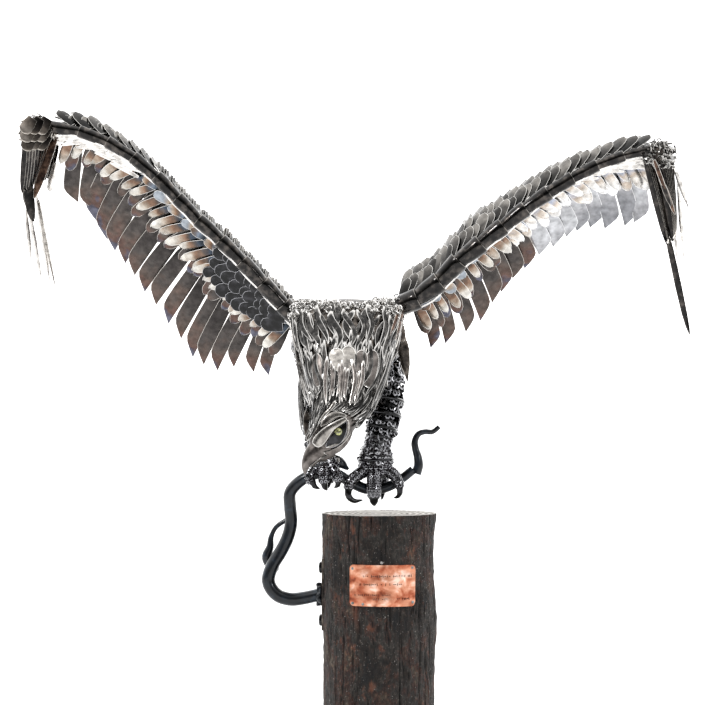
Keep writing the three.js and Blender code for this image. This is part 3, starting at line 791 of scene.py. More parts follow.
def under_fringe(wing, start):
    """Long thin polished feathers that lie along the pipe towards the wrist."""
    plate = sized_plate(BLADE, 96 * MM, 13 * MM)
    places = []
    for row in range(3):
        places += covert_row(wing.below, 90 + row, (-0.13 + 0.07 * row,) * 2, (84, 76, 62),
                             round(26 * (1 - start)) + 4, (28 - 2 * row) * MM,
                             math.radians(3), (start, 0.99), -0.1)
    fringe = copies(f"{wing.side}_wing_polished_fringe", plate, places)
    scrap(plate)
    fit_out(fringe, BRIGHT, "tinted_steel")


def upper_coverts(wing):
    """Rows of scales over the back of the wing, which stand in for the CAD shell."""
    rows = []
    for k in range(5):
        plate = sized_plate(ROUNDED, (76 + 4 * k) * MM, (40 + k) * MM)
        places = covert_row(wing.above, 40 + k, (0.04 + 0.1 * k, 0.04 + 0.1 * k),
                            (10, 22, 30, 50), 30 - k, (12 - k) * MM,
                            math.radians(8 - k), (0.03, 0.97))
        rows.append(copies(f"row_{k}", plate, places))
        scrap(plate)
    # only the right wing has a crest of small plates that stand up along its pipe
    if wing.side == "right":
        plate = sized_plate(ROUNDED, 44 * MM, 26 * MM)
        for k, (tilt, start, end) in enumerate(((42, 0.02, 0.5), (34, 0.5, 0.75),
                                                (22, 0.75, 0.97))):
            places = covert_row(wing.above, 60 + k, (0.05,) * 2, (0, 10, 15),
                                round(100 * (end - start)), 6 * MM, math.radians(tilt),
                                (start, end), 0.2)
            rows.append(copies("crest_row", plate, places))
        scrap(plate)
    shell = join(f"{wing.side}_wing_upper_coverts", rows)
    fit_out(shell, SCALE, "tinted_steel", f"{wing.side}_wing_coverts")


def wing_backing(wing):
    """The plain sheet that both faces of coverts are welded to."""
    backing = merged_copy(f"{wing.side}_wing_coverts", f"{wing.side}_wing_backing_sheet")
    modify(backing, "SUBSURF", levels=1, render_levels=1)
    smooth(backing, 50)
    fit_out(backing, BLACK, "dark_steel", f"{wing.side}_wing_coverts")


def wing_pipe(wing):
    """Lengths of tube beaten over each other, each flared at its outer end."""
    bpy.ops.object.select_all(action="DESELECT")
    bpy.ops.mesh.primitive_cylinder_add(vertices=20, radius=1, depth=1, location=(0, 0, 0.5),
                                        end_fill_type="NGON")
    sleeve = new_piece("sleeve")
    bpy.ops.object.mode_set(mode="EDIT")
    flare = {0: 0.84, 0.2: 0.93, 0.4: 1.0, 0.6: 1.06, 0.8: 1.1, 0.94: 1.13, 1: 1.08}
    for level in list(flare)[1:-1]:
        bpy.ops.mesh.select_all(action="SELECT")
        bpy.ops.mesh.bisect(plane_co=(0, 0, level), plane_no=(0, 0, 1))
    for level, size in flare.items():
        pick(sleeve, "VERT", lambda part: abs(part.co.z - level) < 0.01)
        bpy.ops.transform.resize(value=(size, size, 1), center_override=(0, 0, level))
    bpy.ops.object.mode_set(mode="OBJECT")
    # each sleeve's flared end is marked as rim and painted brighter: partly the ground end, partly
    # painted highlight
    mark_points(sleeve.data, "rim", [0.6 * (vertex.co.z > 0.985)
                                     for vertex in sleeve.data.vertices])
    count, overlap, over_cad = 11, 1.06, 1.02
    places = []
    for i in range(count):
        start, end = wing.arm.at_reach(i / count), wing.arm.at_reach((i + 1) / count)
        radius = along(wing.arm_radius, (i + 0.5) / count) * MM * over_cad
        placing = stand(start, (end - start).cross(FRONT), end - start,
                        (radius, radius, (end - start).length * overlap))
        places.append((placing, 0.5))
    pipe = copies(f"{wing.side}_wing_leading_pipe", sleeve, places)
    scrap(sleeve)
    for vertex in pipe.data.vertices:
        vertex.co += vertex.normal * noise.noise(vertex.co * 26) * 2.2 * MM
    smooth(pipe, 40)
    fit_out(pipe, PIPE_STEEL, "dark_steel", f"{wing.side}_wing_pipe")


def pipe_trim(wing):
    """The polished strip welded along the lower edge of the pipe."""
    start, end = 0.02, 0.97

    def route(y):
        place = start + (end - start) * y
        centre = wing.arm.at_reach(place)
        ahead = (wing.arm.at_reach(place + 0.01) - wing.arm.at_reach(place - 0.01)).normalized()
        radius = along(wing.arm_radius, place) * MM
        down = ahead.cross(FRONT).normalized() * (1 if ahead.cross(FRONT).z < 0 else -1)
        face = (FRONT * 0.6 + down * 0.8).normalized()
        wave = 1.5 * MM * math.sin(place * 60)
        return centre + down * (radius + wave) + FRONT * radius * 0.25, ahead, face

    flat = long_strand(44)
    strip = laid(f"{wing.side}_wing_pipe_trim", flat, route, 7 * MM, 0.9)
    scrap(flat)
    fit_out(strip, BRIGHT, "tinted_steel")


def long_strand(steps):
    """A flat strip of many short lengths, to be laid along a long line."""
    bpy.ops.object.select_all(action="DESELECT")
    bpy.ops.mesh.primitive_grid_add(x_subdivisions=2, y_subdivisions=steps, size=1,
                                    location=(0, 0.5, 0))
    strip = new_piece("long_strand")
    # the strip's long edges are marked as rim and painted brighter: partly ground edge, partly
    # painted highlight
    mark_points(strip.data, "rim", [float(abs(v.co.x) > 0.4) for v in strip.data.vertices])
    modify(strip, "SOLIDIFY", thickness=1.6 * MM, offset=0)
    return strip


def laid(name, pattern, route, width, tone, arch=0.0):
    """Lays a copy of a flat strip along a route. route(y) gives the point, the way
    ahead and the way out of the skin. arch bows the strip across its width."""
    mesh = pattern.data.copy()
    set_tone(mesh, tone)
    known = {}
    for vertex in mesh.vertices:
        y = round(vertex.co.y, 3)
        if y not in known:
            known[y] = route(min(max(y, 0.0), 1.0))
        point, ahead, face = known[y]
        side = ahead.cross(face).normalized()
        bow = arch * (1 - 4 * vertex.co.x ** 2)
        vertex.co = point + side * vertex.co.x * width + face * (vertex.co.z + bow)
    strip = bpy.data.objects.new(name, mesh)
    bpy.context.scene.collection.objects.link(strip)
    return strip


# ---------------------------------------------------------------- the bird's forms

class Form:
    """A rounded form strung on a line, the same as the CAD's. Each station is
    (x, y, z, half width, half depth)."""

    def __init__(self, stations, sideways):
        self.line = Line([station[:3] for station in stations])
        self.widths = [station[3] * MM for station in stations]
        self.depths = [station[4] * MM for station in stations]
        self.sideways = Vector(sideways)

    def at(self, t, degrees, lift=0.0):
        """A point on the skin, the way along the form, and the way out of the skin."""
        ahead = self.line.ahead(t)
        over = ahead.cross(self.sideways).normalized()
        across = over.cross(ahead)
        turn = math.radians(degrees)
        width, depth = along(self.widths, t), along(self.depths, t)
        out = (across * math.cos(turn) / width + over * math.sin(turn) / depth).normalized()
        point = self.line.at(t) + across * math.cos(turn) * width + over * math.sin(turn) * depth
        return point + out * lift, ahead, out


NECK = Form([(-96, -70, 1372, 120, 26), (-96, -118, 1345, 156, 52), (-97, -168, 1285, 142, 66),
             (-96, -218, 1218, 120, 70), (-98, -264, 1150, 104, 64), (-108, -298, 1095, 84, 60),
             (-122, -318, 1058, 70, 56)], (1, 0, 0))
BODY = Form([(-95, -118, 1305, 60, 36), (-96, -92, 1298, 140, 84), (-96, 0, 1272, 156, 118),
             (-95, 110, 1258, 140, 112), (-94, 220, 1250, 98, 82), (-94, 300, 1246, 56, 46),
             (-94, 340, 1245, 34, 22)], (1, 0, 0))
RIGHT_LEG = Form([(-172, 40, 1190, 40, 46), (-186, 30, 1130, 46, 50), (-190, 14, 1070, 40, 44),
                  (-190, 2, 1020, 34, 38), (-184, -8, 965, 30, 32), (-172, -12, 925, 34, 34),
                  (-166, -14, 908, 34, 34)], (1, 0, 0))
LEFT_LEG = Form([(0, 40, 1240, 44, 50), (18, 34, 1180, 50, 54), (22, 22, 1116, 52, 54),
                 (14, 8, 1040, 46, 48), (2, -4, 972, 35, 38), (-4, -8, 950, 33, 34),
                 (-8, -8, 926, 42, 42), (-8, -8, 900, 48, 46)], (1, 0, 0))
FRONT_SKIN = skin_of("eagle_neck", "eagle_head", "eagle_beak", "eagle_body")


def on_front(x, z, lift):
    """The point of the bird's skin seen from the front at this x and z, in millimetres,
    and the way out of the skin there."""
    clear, head_y, reach = -0.6, -0.33, 0.75
    hit, out, _, _ = FRONT_SKIN.ray_cast(Vector((x * MM, clear, z * MM)), -FRONT, reach)
    if hit is None:
        hit, out, _, _ = FRONT_SKIN.find_nearest(Vector((x * MM, head_y, z * MM)))
    out = (out + FRONT * 0.5).normalized()
    return hit + out * lift * MM, out


def front_route(points, lift):
    """A route over the front of the bird, through points given as (x, z)."""
    line = Line([(x, 0, z) for x, z in points])

    def route(y):
        place = line.at_reach(y)
        near = [on_front(q.x / MM, q.z / MM, lift) for q in (
            place, line.at_reach(y - 0.06), line.at_reach(y + 0.06))]
        out = (near[0][1] + near[1][1] + near[2][1]).normalized()
        middle = near[0][0] * 0.5 + (near[1][0] + near[2][0]) * 0.25
        ahead = near[2][0] - near[1][0]
        ahead = (ahead - out * ahead.dot(out)).normalized()
        return middle, ahead, out

    return route


def form_route(form, t, degrees, lift, sway, waves, phase):
    """A wavy route along a form, between two places along it and round it."""
    def place(y):
        swing = sway * math.sin(waves * math.tau * y + phase)
        return form.at(t[0] + (t[1] - t[0]) * y, degrees[0] + (degrees[1] - degrees[0]) * y
                       + swing, lift * MM)

    def route(y):
        point, _, out = place(y)
        ahead = place(min(y + 0.03, 1.0))[0] - place(max(y - 0.03, 0.0))[0]
        ahead = (ahead - out * ahead.dot(out)).normalized()
        return point, ahead, out

    return route


# ---------------------------------------------------------------- neck, body and head

def neck_strands():
    """Strips of sheet beaten wavy and welded side by side from the shoulders to the head."""
    rng = random.Random(21)
    groups = [
        # label, layers, strips in a layer, top, run, width, sway
        ("upper", 3, 16, (0.19, 0.27), (0.24, 0.36), (13, 21), (3, 6)),
        ("lower", 3, 15, (0.42, 0.54), (0.34, 0.48), (11, 18), (2.5, 7)),
    ]
    for label, layers, count, top, run, width, sway in groups:
        made = []
        for layer in range(layers):
            for i in range(count):
                share = (i + 0.5 * (layer % 2) + rng.uniform(-0.3, 0.3)) / count
                degrees = 212 - 244 * share
                start = rng.uniform(*top)
                route = form_route(NECK, (start, min(start + rng.uniform(*run), 1.0)),
                                   (degrees, degrees + rng.uniform(-6, 6)),
                                   1 + 3.5 * layer + rng.uniform(0, 2.5), rng.uniform(*sway),
                                   rng.uniform(0.75, 1.1),
                                   1.9 * layer + 7 * share + rng.uniform(-0.5, 0.5))
                made.append(laid("strand", STRAND_PLATE, route, rng.uniform(*width) * MM,
                                 rng.random(), rng.uniform(3, 6) * MM))
        strands = join(f"neck_{label}_strands", made)
        smooth(strands, 50)
        fit_out(strands, STRAND_STEEL, "dark_steel")


def head_strands():
    """Strips that sweep off the neck and down the cheek, each ending against the face."""
    rng = random.Random(5)
    ends = Line([(-196, 0, 992), (-174, 0, 1034), (-150, 0, 1056), (-120, 0, 1062),
                 (-94, 0, 1052), (-78, 0, 1032), (-76, 0, 1012)])
    made = []
    count = 21
    for layer in range(2):
        for i in range(count):
            share = min(max((i + rng.uniform(-0.3, 0.3)) / (count - 1), 0), 1)
            end = ends.at_reach(share) / MM
            # the strip starts high on the neck, bends halfway, and turns in at the face
            start_x = -204 + 220 * share
            start_z = 1160 + rng.uniform(-30, 30) - 20 * share
            half_x = start_x * 0.6 + end.x * 0.4 + 26 * share
            half_z = start_z * 0.42 + end.z * 0.58
            turn_x = start_x * 0.25 + end.x * 0.75 + 12 * share
            turn_z = start_z * 0.16 + end.z * 0.84
            route = front_route([(start_x, start_z), (half_x, half_z), (turn_x, turn_z),
                                 (end.x, end.z)], 3 + 3.5 * layer + rng.uniform(0, 2))
            made.append(laid("strand", STRAND_PLATE, route, rng.uniform(10, 15) * MM,
                             rng.random(), rng.uniform(3, 5) * MM))
    strands = join("head_swept_strands", made)
    smooth(strands, 50)
    fit_out(strands, STRAND_STEEL, "dark_steel")


def face_plate(name, points, width, lift, finish, arch, pattern):
    """One hammered plate of the face, laid through points given as (x, z)."""
    plate = laid(name, pattern, front_route(points, lift), width * MM, 0.5, arch * MM)
    plate.data.name = name
    smooth(plate, 60)
    modify(plate, "SUBSURF", levels=1, render_levels=1)
    return fit_out(plate, finish, "dark_steel")


def form_piece(name, form, sides, steps):
    """A rounded solid: a cylinder is cut into rings, and each ring is set on the form."""
    bpy.ops.object.select_all(action="DESELECT")
    bpy.ops.mesh.primitive_cylinder_add(vertices=sides, radius=1, depth=1,
                                        location=(0, 0, 0.5))
    piece = new_piece(name)
    bpy.ops.object.mode_set(mode="EDIT")
    for step in range(1, steps):
        bpy.ops.mesh.select_all(action="SELECT")
        bpy.ops.mesh.bisect(plane_co=(0, 0, step / steps), plane_no=(0, 0, 1))
    bpy.ops.object.mode_set(mode="OBJECT")
    for vertex in piece.data.vertices:
        degrees = math.degrees(math.atan2(vertex.co.y, vertex.co.x))
        vertex.co = form.at(vertex.co.z, degrees)[0]
    bpy.ops.object.mode_set(mode="EDIT")
    bpy.ops.mesh.select_all(action="SELECT")
    bpy.ops.mesh.normals_make_consistent(inside=False)
    bpy.ops.object.mode_set(mode="OBJECT")
    smooth(piece, 60)
    return piece


BEAK = Form([(-156, -350, 967, 46, 30), (-172, -353, 952, 38, 27), (-189, -356, 939, 29, 24),
             (-201, -359, 924, 23, 20), (-210, -361, 910, 16, 15), (-214, -362, 899, 10, 10),
             (-215, -362, 889, 5, 5.5), (-213, -362, 882, 1.5, 2)], (-0.87, 0, 0.5))
SNAKE_HEAD = Form([(-156, 20, 880, 9, 9), (-142, 8, 897, 17, 18), (-126, 2, 904, 21, 20),
                   (-110, 0, 897, 17, 15), (-98, 0, 887, 10, 8), (-90, 0, 881, 4, 4)], (0, 1, 0))


def head():
    """The skull and beak, with the plates round the eye, over the brow and down the jaw."""
    skull = merged_copy("eagle_head", "eagle_skull_form")
    modify(skull, "SUBSURF", levels=2, render_levels=2)
    smooth(skull, 60)
    fit_out(skull, BEAK_STEEL, "dark_steel", "eagle_head")
    beak = form_piece("eagle_hooked_beak", BEAK, 28, 26)
    fit_out(beak, BEAK_STEEL, "dark_steel", "eagle_beak")
    face_plate("eye_socket", [(-156, 962), (-121, 986), (-95, 1036)], 40, 5, GLOSSY, 1.0,
               LEAF_PLATE)
    face_plate("socket_rim", [(-158, 961), (-123, 971), (-96, 998), (-91, 1030), (-97, 1044)],
               6, 9, BROW_STEEL, 2.0, STRAND_PLATE)
    face_plate("crown_plate", [(-166, 1018), (-144, 1044), (-120, 1055), (-96, 1048)], 26, 11,
               BROW_STEEL, 4.0, LEAF_PLATE)
    face_plate("cheek_plate", [(-164, 946), (-142, 944), (-118, 955), (-97, 977),
                               (-80, 1012)], 24, 5, BEAK_STEEL, 3.0, LEAF_PLATE)
    face_plate("brow_plate", [(-183, 966), (-168, 984), (-148, 1006), (-126, 1028),
                              (-99, 1043)], 37, 19, BROW_STEEL, 9.0, BROW_PLATE)
    face_plate("forehead_strip_1", [(-141, 1090), (-162, 1048), (-186, 1000), (-203, 970)],
               13, 12, STRAND_STEEL, 4.0, STRAND_PLATE)
    face_plate("forehead_strip_2", [(-158, 1094), (-177, 1046), (-196, 1004), (-209, 974)],
               12, 8, STRAND_STEEL, 4.0, STRAND_PLATE)
    face_plate("forehead_strip_3", [(-124, 1092), (-142, 1066), (-158, 1044), (-172, 1020)],
               12, 13, BROW_STEEL, 4.0, STRAND_PLATE)
    face_plate("mouth_edge", [(-118, 950), (-157, 936), (-179, 922), (-197, 908),
                              (-209, 892)], 5, 2, WIRE, 2.0, STRAND_PLATE)


def eyes():
    """A glass ball in each socket, with a shallow ring cut round its front."""
    radius = 11
    for side, place in (("left", on_front(-120, 1005, 9)[0]),
                        ("right", Vector((-122, -290, 1010)) * MM)):
        bpy.ops.object.select_all(action="DESELECT")
        bpy.ops.mesh.primitive_uv_sphere_add(segments=24, ring_count=16,
                                             radius=radius * MM, location=place)
        eye = new_piece(f"{side}_glass_eye")
        bpy.ops.object.mode_set(mode="EDIT")
        pick(eye, "FACE", lambda part: part.center.y < place.y - (radius - 1) * MM)
        bpy.ops.mesh.inset(thickness=1.0 * MM)
        bpy.ops.object.mode_set(mode="OBJECT")
        smooth(eye, 80)
        fit_out(eye, EYE, "eye_glass", f"{side}_eye")


def breast_plates():
    """Broad hammered plates set among the strands on the front of the neck, and the
    rust-brown ones over the shoulders."""
    rows = [
        # name, finish, width, lift, points from the hidden root up to the rounded end
        ("breast_plate_1", BEAK_STEEL, 38, 9, [(-168, 1128), (-176, 1172), (-178, 1228)]),
        ("breast_plate_2", BEAK_STEEL, 46, 9, [(-44, 1128), (-28, 1180), (-22, 1238)]),
        ("breast_plate_3", BEAK_STEEL, 44, 11, [(-72, 1128), (-62, 1180), (-50, 1236)]),
        ("breast_plate_4", BROW_STEEL, 46, 12, [(-114, 1172), (-120, 1202), (-124, 1240)]),
        ("breast_plate_5", BROW_STEEL, 46, 13, [(-96, 1172), (-92, 1206), (-88, 1246)]),
    ]
    for name, finish, width, lift, points in rows:
        face_plate(name, points, width, lift, finish, 4.0, BROAD_PLATE)
    rng = random.Random(55)
    made = []
    for i in range(11):
        x = -146 + 9.5 * i
        low = 1092 + rng.uniform(-22, 16)
        route = front_route([(x, 1190 + rng.uniform(-26, 26)),
                             (x + rng.uniform(-8, 6), 1146 + rng.uniform(-8, 8)),
                             (-108 + (x + 98) * 0.8, low)], rng.uniform(17, 22))
        made.append(laid("strip", STRAND_PLATE, route, rng.uniform(8, 13) * MM, rng.random(),
                         3 * MM))
    bright = join("breast_bright_strips", made)
    smooth(bright, 50)
    fit_out(bright, BEAK_STEEL, "dark_steel")
    wraps = [("shoulder_plate_1", 190, 36), ("shoulder_plate_2", -8, 30),
             ("shoulder_plate_3", 8, 20), ("shoulder_plate_4", 22, 14)]
    for k, (name, degrees, width) in enumerate(wraps):
        route = form_route(NECK, (0.12 + 0.02 * k, 0.42), (degrees, degrees + 4), 12, 2, 0.8, k)
        plate = laid(name, LEAF_PLATE, route, width * MM, 0.5, 5 * MM)
        smooth(plate, 60)
        fit_out(plate, BROWN, "dark_steel")


def thigh_strips():
    """Cables and strips that hang down the outside of each thigh, and the leaves that
    close the ankle of the right leg."""
    rng = random.Random(91)
    for side, form, spread in (("right", RIGHT_LEG, (95, 215)), ("left", LEFT_LEG, (85, 200))):
        made = []
        count, drop = (15, 0.4) if side == "right" else (10, 0.22)
        for i in range(count):
            degrees = spread[0] + (spread[1] - spread[0]) * (i + 0.5) / count
            start = rng.uniform(0.0, 0.1)
            route = form_route(form, (start, start + drop * rng.uniform(0.75, 1.25)),
                               (degrees, degrees + rng.uniform(-8, 8)), rng.uniform(5, 10),
                               rng.uniform(3, 7), rng.uniform(0.9, 1.6), rng.uniform(0, math.tau))
            made.append(laid("strip", STRAND_PLATE, route, rng.uniform(7, 11) * MM,
                             rng.random(), 1.5 * MM))
        strips = join(f"{side}_thigh_strips", made)
        smooth(strips, 50)
        fit_out(strips, STRAND_STEEL, "dark_steel")
    made = [blade_between((-216, -66, 1058), (-207, -74, 958), 27, -20, LEAF, 0.4),
            blade_between((-193, -72, 1060), (-190, -80, 994), 29, 10, LEAF, 0.8)]
    leaves = join("right_ankle_leaf_plates", made)
    smooth(leaves, 60)
    fit_out(leaves, BLACK, "dark_steel")


def free_route(points):
    """A route through points in space, for cords that hang clear of the body."""
    line = Line(points)

    def route(y):
        ahead = (line.at_reach(y + 0.03) - line.at_reach(y - 0.03)).normalized()
        return line.at_reach(y), ahead, (FRONT - ahead * FRONT.dot(ahead)).normalized()

    return route


def side_cords():
    """Cords, beads and loose plates that hang beside the neck, down to each thigh."""
    rng = random.Random(17)
    nut = nut_pattern()
    bundles = [
        ("right", -1, [(-262, -60, 1345), (-250, -66, 1280), (-236, -62, 1200),
                       (-216, -44, 1120), (-206, -36, 1070)], 7, 26),
        ("left", 1, [(60, -66, 1370), (58, -70, 1300), (44, -64, 1240), (22, -52, 1180),
                     (14, -40, 1130)], 6, 24)]
    for side, outward, points, count, spread in bundles:
        made = []
        for i in range(count):
            shift = spread * (i / (count - 1) - 0.35)
            path = [(x - outward * shift + rng.uniform(-7, 7), y - rng.uniform(4, 22), z)
                    for x, y, z in points]
            made.append(laid("cord", STRAND_PLATE, free_route(path),
                             rng.uniform(5, 8) * MM, rng.random(), 3 * MM))
        cords = join(f"{side}_side_cords", made)
        smooth(cords, 50)
        fit_out(cords, WIRE, "dark_steel")
        line = Line(points)
        places = []
        for i in range(190):
            spot = line.at_reach(rng.uniform(0.02, 1))
            spot += Vector((rng.uniform(-16, 16) - outward * 8, rng.uniform(-10, 14), 0)) * MM
            way = Vector((rng.uniform(-1, 1), -1, rng.uniform(-1, 1))).normalized()
            size = rng.uniform(9, 14) * MM
            places.append((stand(spot, way.orthogonal(), way, (size, size, size)), rng.random()))
        beads = copies(f"{side}_side_beads", nut, places)
        fit_out(beads, GLOSSY, "dark_steel")
    scrap(nut)
    hanging = join("left_side_hanging_plates", [
        blade_between((66, -64, 1300), (86, -56, 1146), 36, 0, LEAF, 0.2),
        blade_between((54, -70, 1350), (70, -66, 1262), 30, 10, ROUNDED, 0.1)])
    fit_out(hanging, BLACK, "dark_steel")


def curl_pattern():
    """A short curl of wire: part of a ring of round wire."""
    bpy.ops.object.select_all(action="DESELECT")
    bpy.ops.mesh.primitive_torus_add(major_segments=14, minor_segments=5, major_radius=1.0,
                                     minor_radius=0.21)
    curl = new_piece("wire_curl")
    bpy.ops.object.mode_set(mode="EDIT")
    bpy.ops.mesh.select_all(action="SELECT")
    bpy.ops.mesh.bisect(plane_co=(0, -0.45, 0), plane_no=(0, 1, 0), clear_inner=True,
                        use_fill=True)
    bpy.ops.object.mode_set(mode="OBJECT")
    # every point of the curl is marked as rim, so the curl is painted mostly in its finish's pale
    # rim colour: a painted highlight
    mark_points(curl.data, "rim", [0.7] * len(curl.data.vertices))
    smooth(curl, 60)
    return curl


def shoulder_curls():
    """The tangle of wire and swarf across the shoulders, painted pale as a painted highlight."""
    rng = random.Random(33)
    curl = curl_pattern()
    places = []
    left, right = -268, 62
    crest = Line([(left, -70, 1378), (-225, -70, 1385), (-165, -60, 1380), (-96, -60, 1376),
                  (-35, -60, 1380), (15, -70, 1390), (right, -75, 1400)])
    for _ in range(820):
        if rng.random() < 0.6:
            spot, _, _ = NECK.at(rng.uniform(0.02, 0.25), rng.uniform(-8, 188),
                                 rng.uniform(0, 12) * MM)
        elif rng.random() < 0.6:
            spot = crest.at_reach(rng.random()) - UP * rng.uniform(0, 34) * MM
            spot += FRONT * rng.uniform(-20, 36) * MM
        else:
            spot, _, _ = BODY.at(rng.uniform(0.12, 0.4), -rng.uniform(20, 160),
                                 rng.uniform(-6, 4) * MM)
        level = crest.at_reach((spot.x / MM - left) / (right - left)).z
        if spot.z > level:
            spot.z = level - rng.uniform(0, 12) * MM
        axis = any_way(rng).normalized()
        radius = rng.uniform(6, 12) * MM
        places.append((stand(spot, axis, axis.orthogonal(), (radius, radius, radius)),
                       rng.random()))
    curls = copies("shoulder_wire_curls", curl, places)
    scrap(curl)
    fit_out(curls, WIRE, "dark_steel")


def wrist_curls(knot):
    """Loose curls of dark wire over a wrist."""
    rng = random.Random(18)
    curl = curl_pattern()
    places = []
    for i in range(64):
        spot, _, _ = knot.at(rng.uniform(0, 0.4), -rng.uniform(-40, 220),
                             rng.uniform(2, 12) * MM)
        if i % 2:
            spot = knot.line.at(0) + Vector((rng.uniform(-34, 30), rng.uniform(-12, 4),
                                             rng.uniform(-30, 34))) * MM
        axis = any_way(rng).normalized()
        radius = rng.uniform(8, 15) * MM
        places.append((stand(spot, axis, axis.orthogonal(), (radius, radius, radius)),
                       rng.random()))
    curls = copies("left_wrist_wire_curls", curl, places)
    scrap(curl)
    fit_out(curls, STRAND_STEEL, "dark_steel")


def body():
    """The forms of the neck and body, and the scales welded round the body."""
    for node, name in (("eagle_neck", "eagle_neck_form"), ("eagle_body", "eagle_body_form")):
        form = merged_copy(node, name)
        modify(form, "SUBSURF", levels=2, render_levels=2)
        smooth(form, 60)
        fit_out(form, BLACK, "dark_steel", node)
    rng = random.Random(12)
    plate = sized_plate(ROUNDED, 58 * MM, 34 * MM)
    places = []
    rows, tilt = 13, math.radians(9)
    for row in range(rows):
        t = 0.2 + 0.75 * row / rows
        count = max(10, int(28 * along(BODY.widths, t) / max(BODY.widths)))
        for i in range(count):
            degrees = 360 * (i + 0.5 * (row % 2)) / count + rng.uniform(-3, 3)
            point, ahead, out = BODY.at(t, degrees, rng.uniform(3, 5) * MM)
            places.append((stand(point, ahead * math.cos(tilt) + out * math.sin(tilt), out),
                           rng.random()))
    scales = copies("body_scale_plates", plate, places)
    scrap(plate)
    fit_out(scales, BLACK, "dark_steel")


# ---------------------------------------------------------------- legs and feet

def nut_pattern():
    """A hexagon nut with its hole, one unit across."""
    bpy.ops.object.select_all(action="DESELECT")
    bpy.ops.mesh.primitive_cylinder_add(vertices=6, radius=0.5, depth=0.45)
    nut = new_piece("nut")
    bpy.ops.object.mode_set(mode="EDIT")
    pick(nut, "FACE", lambda part: part.normal.z > 0.9)
    bpy.ops.mesh.inset(thickness=0.16)
    bpy.ops.transform.translate(value=(0, 0, 0.03))
    bpy.ops.mesh.inset(thickness=0.05)
    bpy.ops.mesh.extrude_region_move(TRANSFORM_OT_translate={"value": (0, 0, -0.3)})
    bpy.ops.object.mode_set(mode="OBJECT")
    # the nut's top face is marked as rim and painted brighter: partly a ground face, partly
    # painted highlight
    mark_points(nut.data, "rim", [0.6 * (v.co.z > 0.2) for v in nut.data.vertices])
    return nut


def leg_dressing(name, form, seed, rows, around, size, reach=(0.0, 1.0)):
    """Rings of nuts, washers and chain ends welded round a leg."""
    rng = random.Random(seed)
    nut = nut_pattern()
    places = []
    for row in range(rows):
        t = reach[0] + (reach[1] - reach[0]) * (row + 0.5) / rows
        for i in range(around):
            if rng.random() < 0.06:
                continue
            degrees = 360 * (i + 0.5 * (row % 2)) / around + rng.uniform(-5, 5)
            point, ahead, out = form.at(t, degrees, rng.uniform(-2, 4) * MM)
            lean = any_way(rng) * 0.55
            scale = size * rng.uniform(0.75, 1.2) * MM
            flat = 1.0 if rng.random() < 0.6 else 1.6
            places.append((stand(point, ahead + lean, out + lean * 0.6,
                                 (scale, scale * flat, scale)), rng.random()))
    dressing = copies(name, nut, places)
    scrap(nut)
    fit_out(dressing, GLOSSY, "dark_steel")


def leg_rings(name, form, spots, thickness):
    """Bands of round bar that bind the shank."""
    made = []
    shank, loose = 38, 1.06    # the shank's usual half width, and the ring's size over it
    for t in spots:
        bpy.ops.object.select_all(action="DESELECT")
        bpy.ops.mesh.primitive_torus_add(major_segments=40, minor_segments=8, major_radius=1.0,
                                         minor_radius=thickness / shank)
        ring = new_piece("ring")
        _, ahead, out = form.at(t, 90)
        width, depth = along(form.widths, t) * loose, along(form.depths, t) * loose
        ring.data.transform(stand(form.line.at(t), out, ahead, (width, depth, shank * MM)))
        made.append(ring)
    rings = join(name, made)
    mark_points(rings.data, "rim", [0.0] * len(rings.data.vertices))
    smooth(rings, 60)
    fit_out(rings, GLOSSY, "dark_steel")


def legs():
    """Each leg's core, crusted with nuts; the left one is also bound with rings."""
    for node, name in (("right_leg", "right_leg_core"), ("left_leg", "left_leg_core")):
        core = merged_copy(node, name)
        modify(core, "SUBSURF", levels=1, render_levels=1)
        smooth(core, 60)
        fit_out(core, GLOSSY, "dark_steel", node)
    leg_dressing("left_leg_nuts", LEFT_LEG, 3, 24, 20, 17)
    leg_dressing("right_leg_nuts", RIGHT_LEG, 4, 20, 18, 15)
    leg_rings("left_leg_rings", LEFT_LEG,
              (0.34, 0.42, 0.5, 0.56, 0.62, 0.68, 0.73, 0.8, 0.87, 0.94), 6)


LEFT_TOES = [
    # route, radii of the chained toe and then of its bare claw
    ([(-34, -20, 880), (-62, -36, 866), (-86, -44, 842), (-90, -46, 820)], (17, 16, 14, 12),
     [(-90, -46, 824), (-90, -48, 804), (-74, -46, 789), (-48, -40, 791)], (11, 10, 7, 2)),
    ([(-11, -30, 880), (-13, -50, 856), (-14, -58, 826), (-14, -58, 796)], (19, 20, 19, 17),
     [(-14, -58, 802), (-14, -56, 786), (-13, -48, 777)], (15, 13, 5)),
    ([(18, -24, 882), (44, -36, 868), (60, -42, 844), (63, -44, 824)], (17, 16, 13, 11),
     [(63, -44, 828), (63, -44, 812), (56, -40, 800), (46, -34, 798)], (10, 9, 6, 2)),
    ([(6, 20, 878), (14, 38, 856), (14, 38, 830), (12, 34, 816)], (16, 15, 13, 11),
     [(12, 34, 820), (12, 30, 800), (10, 20, 790)], (10, 7, 2))]
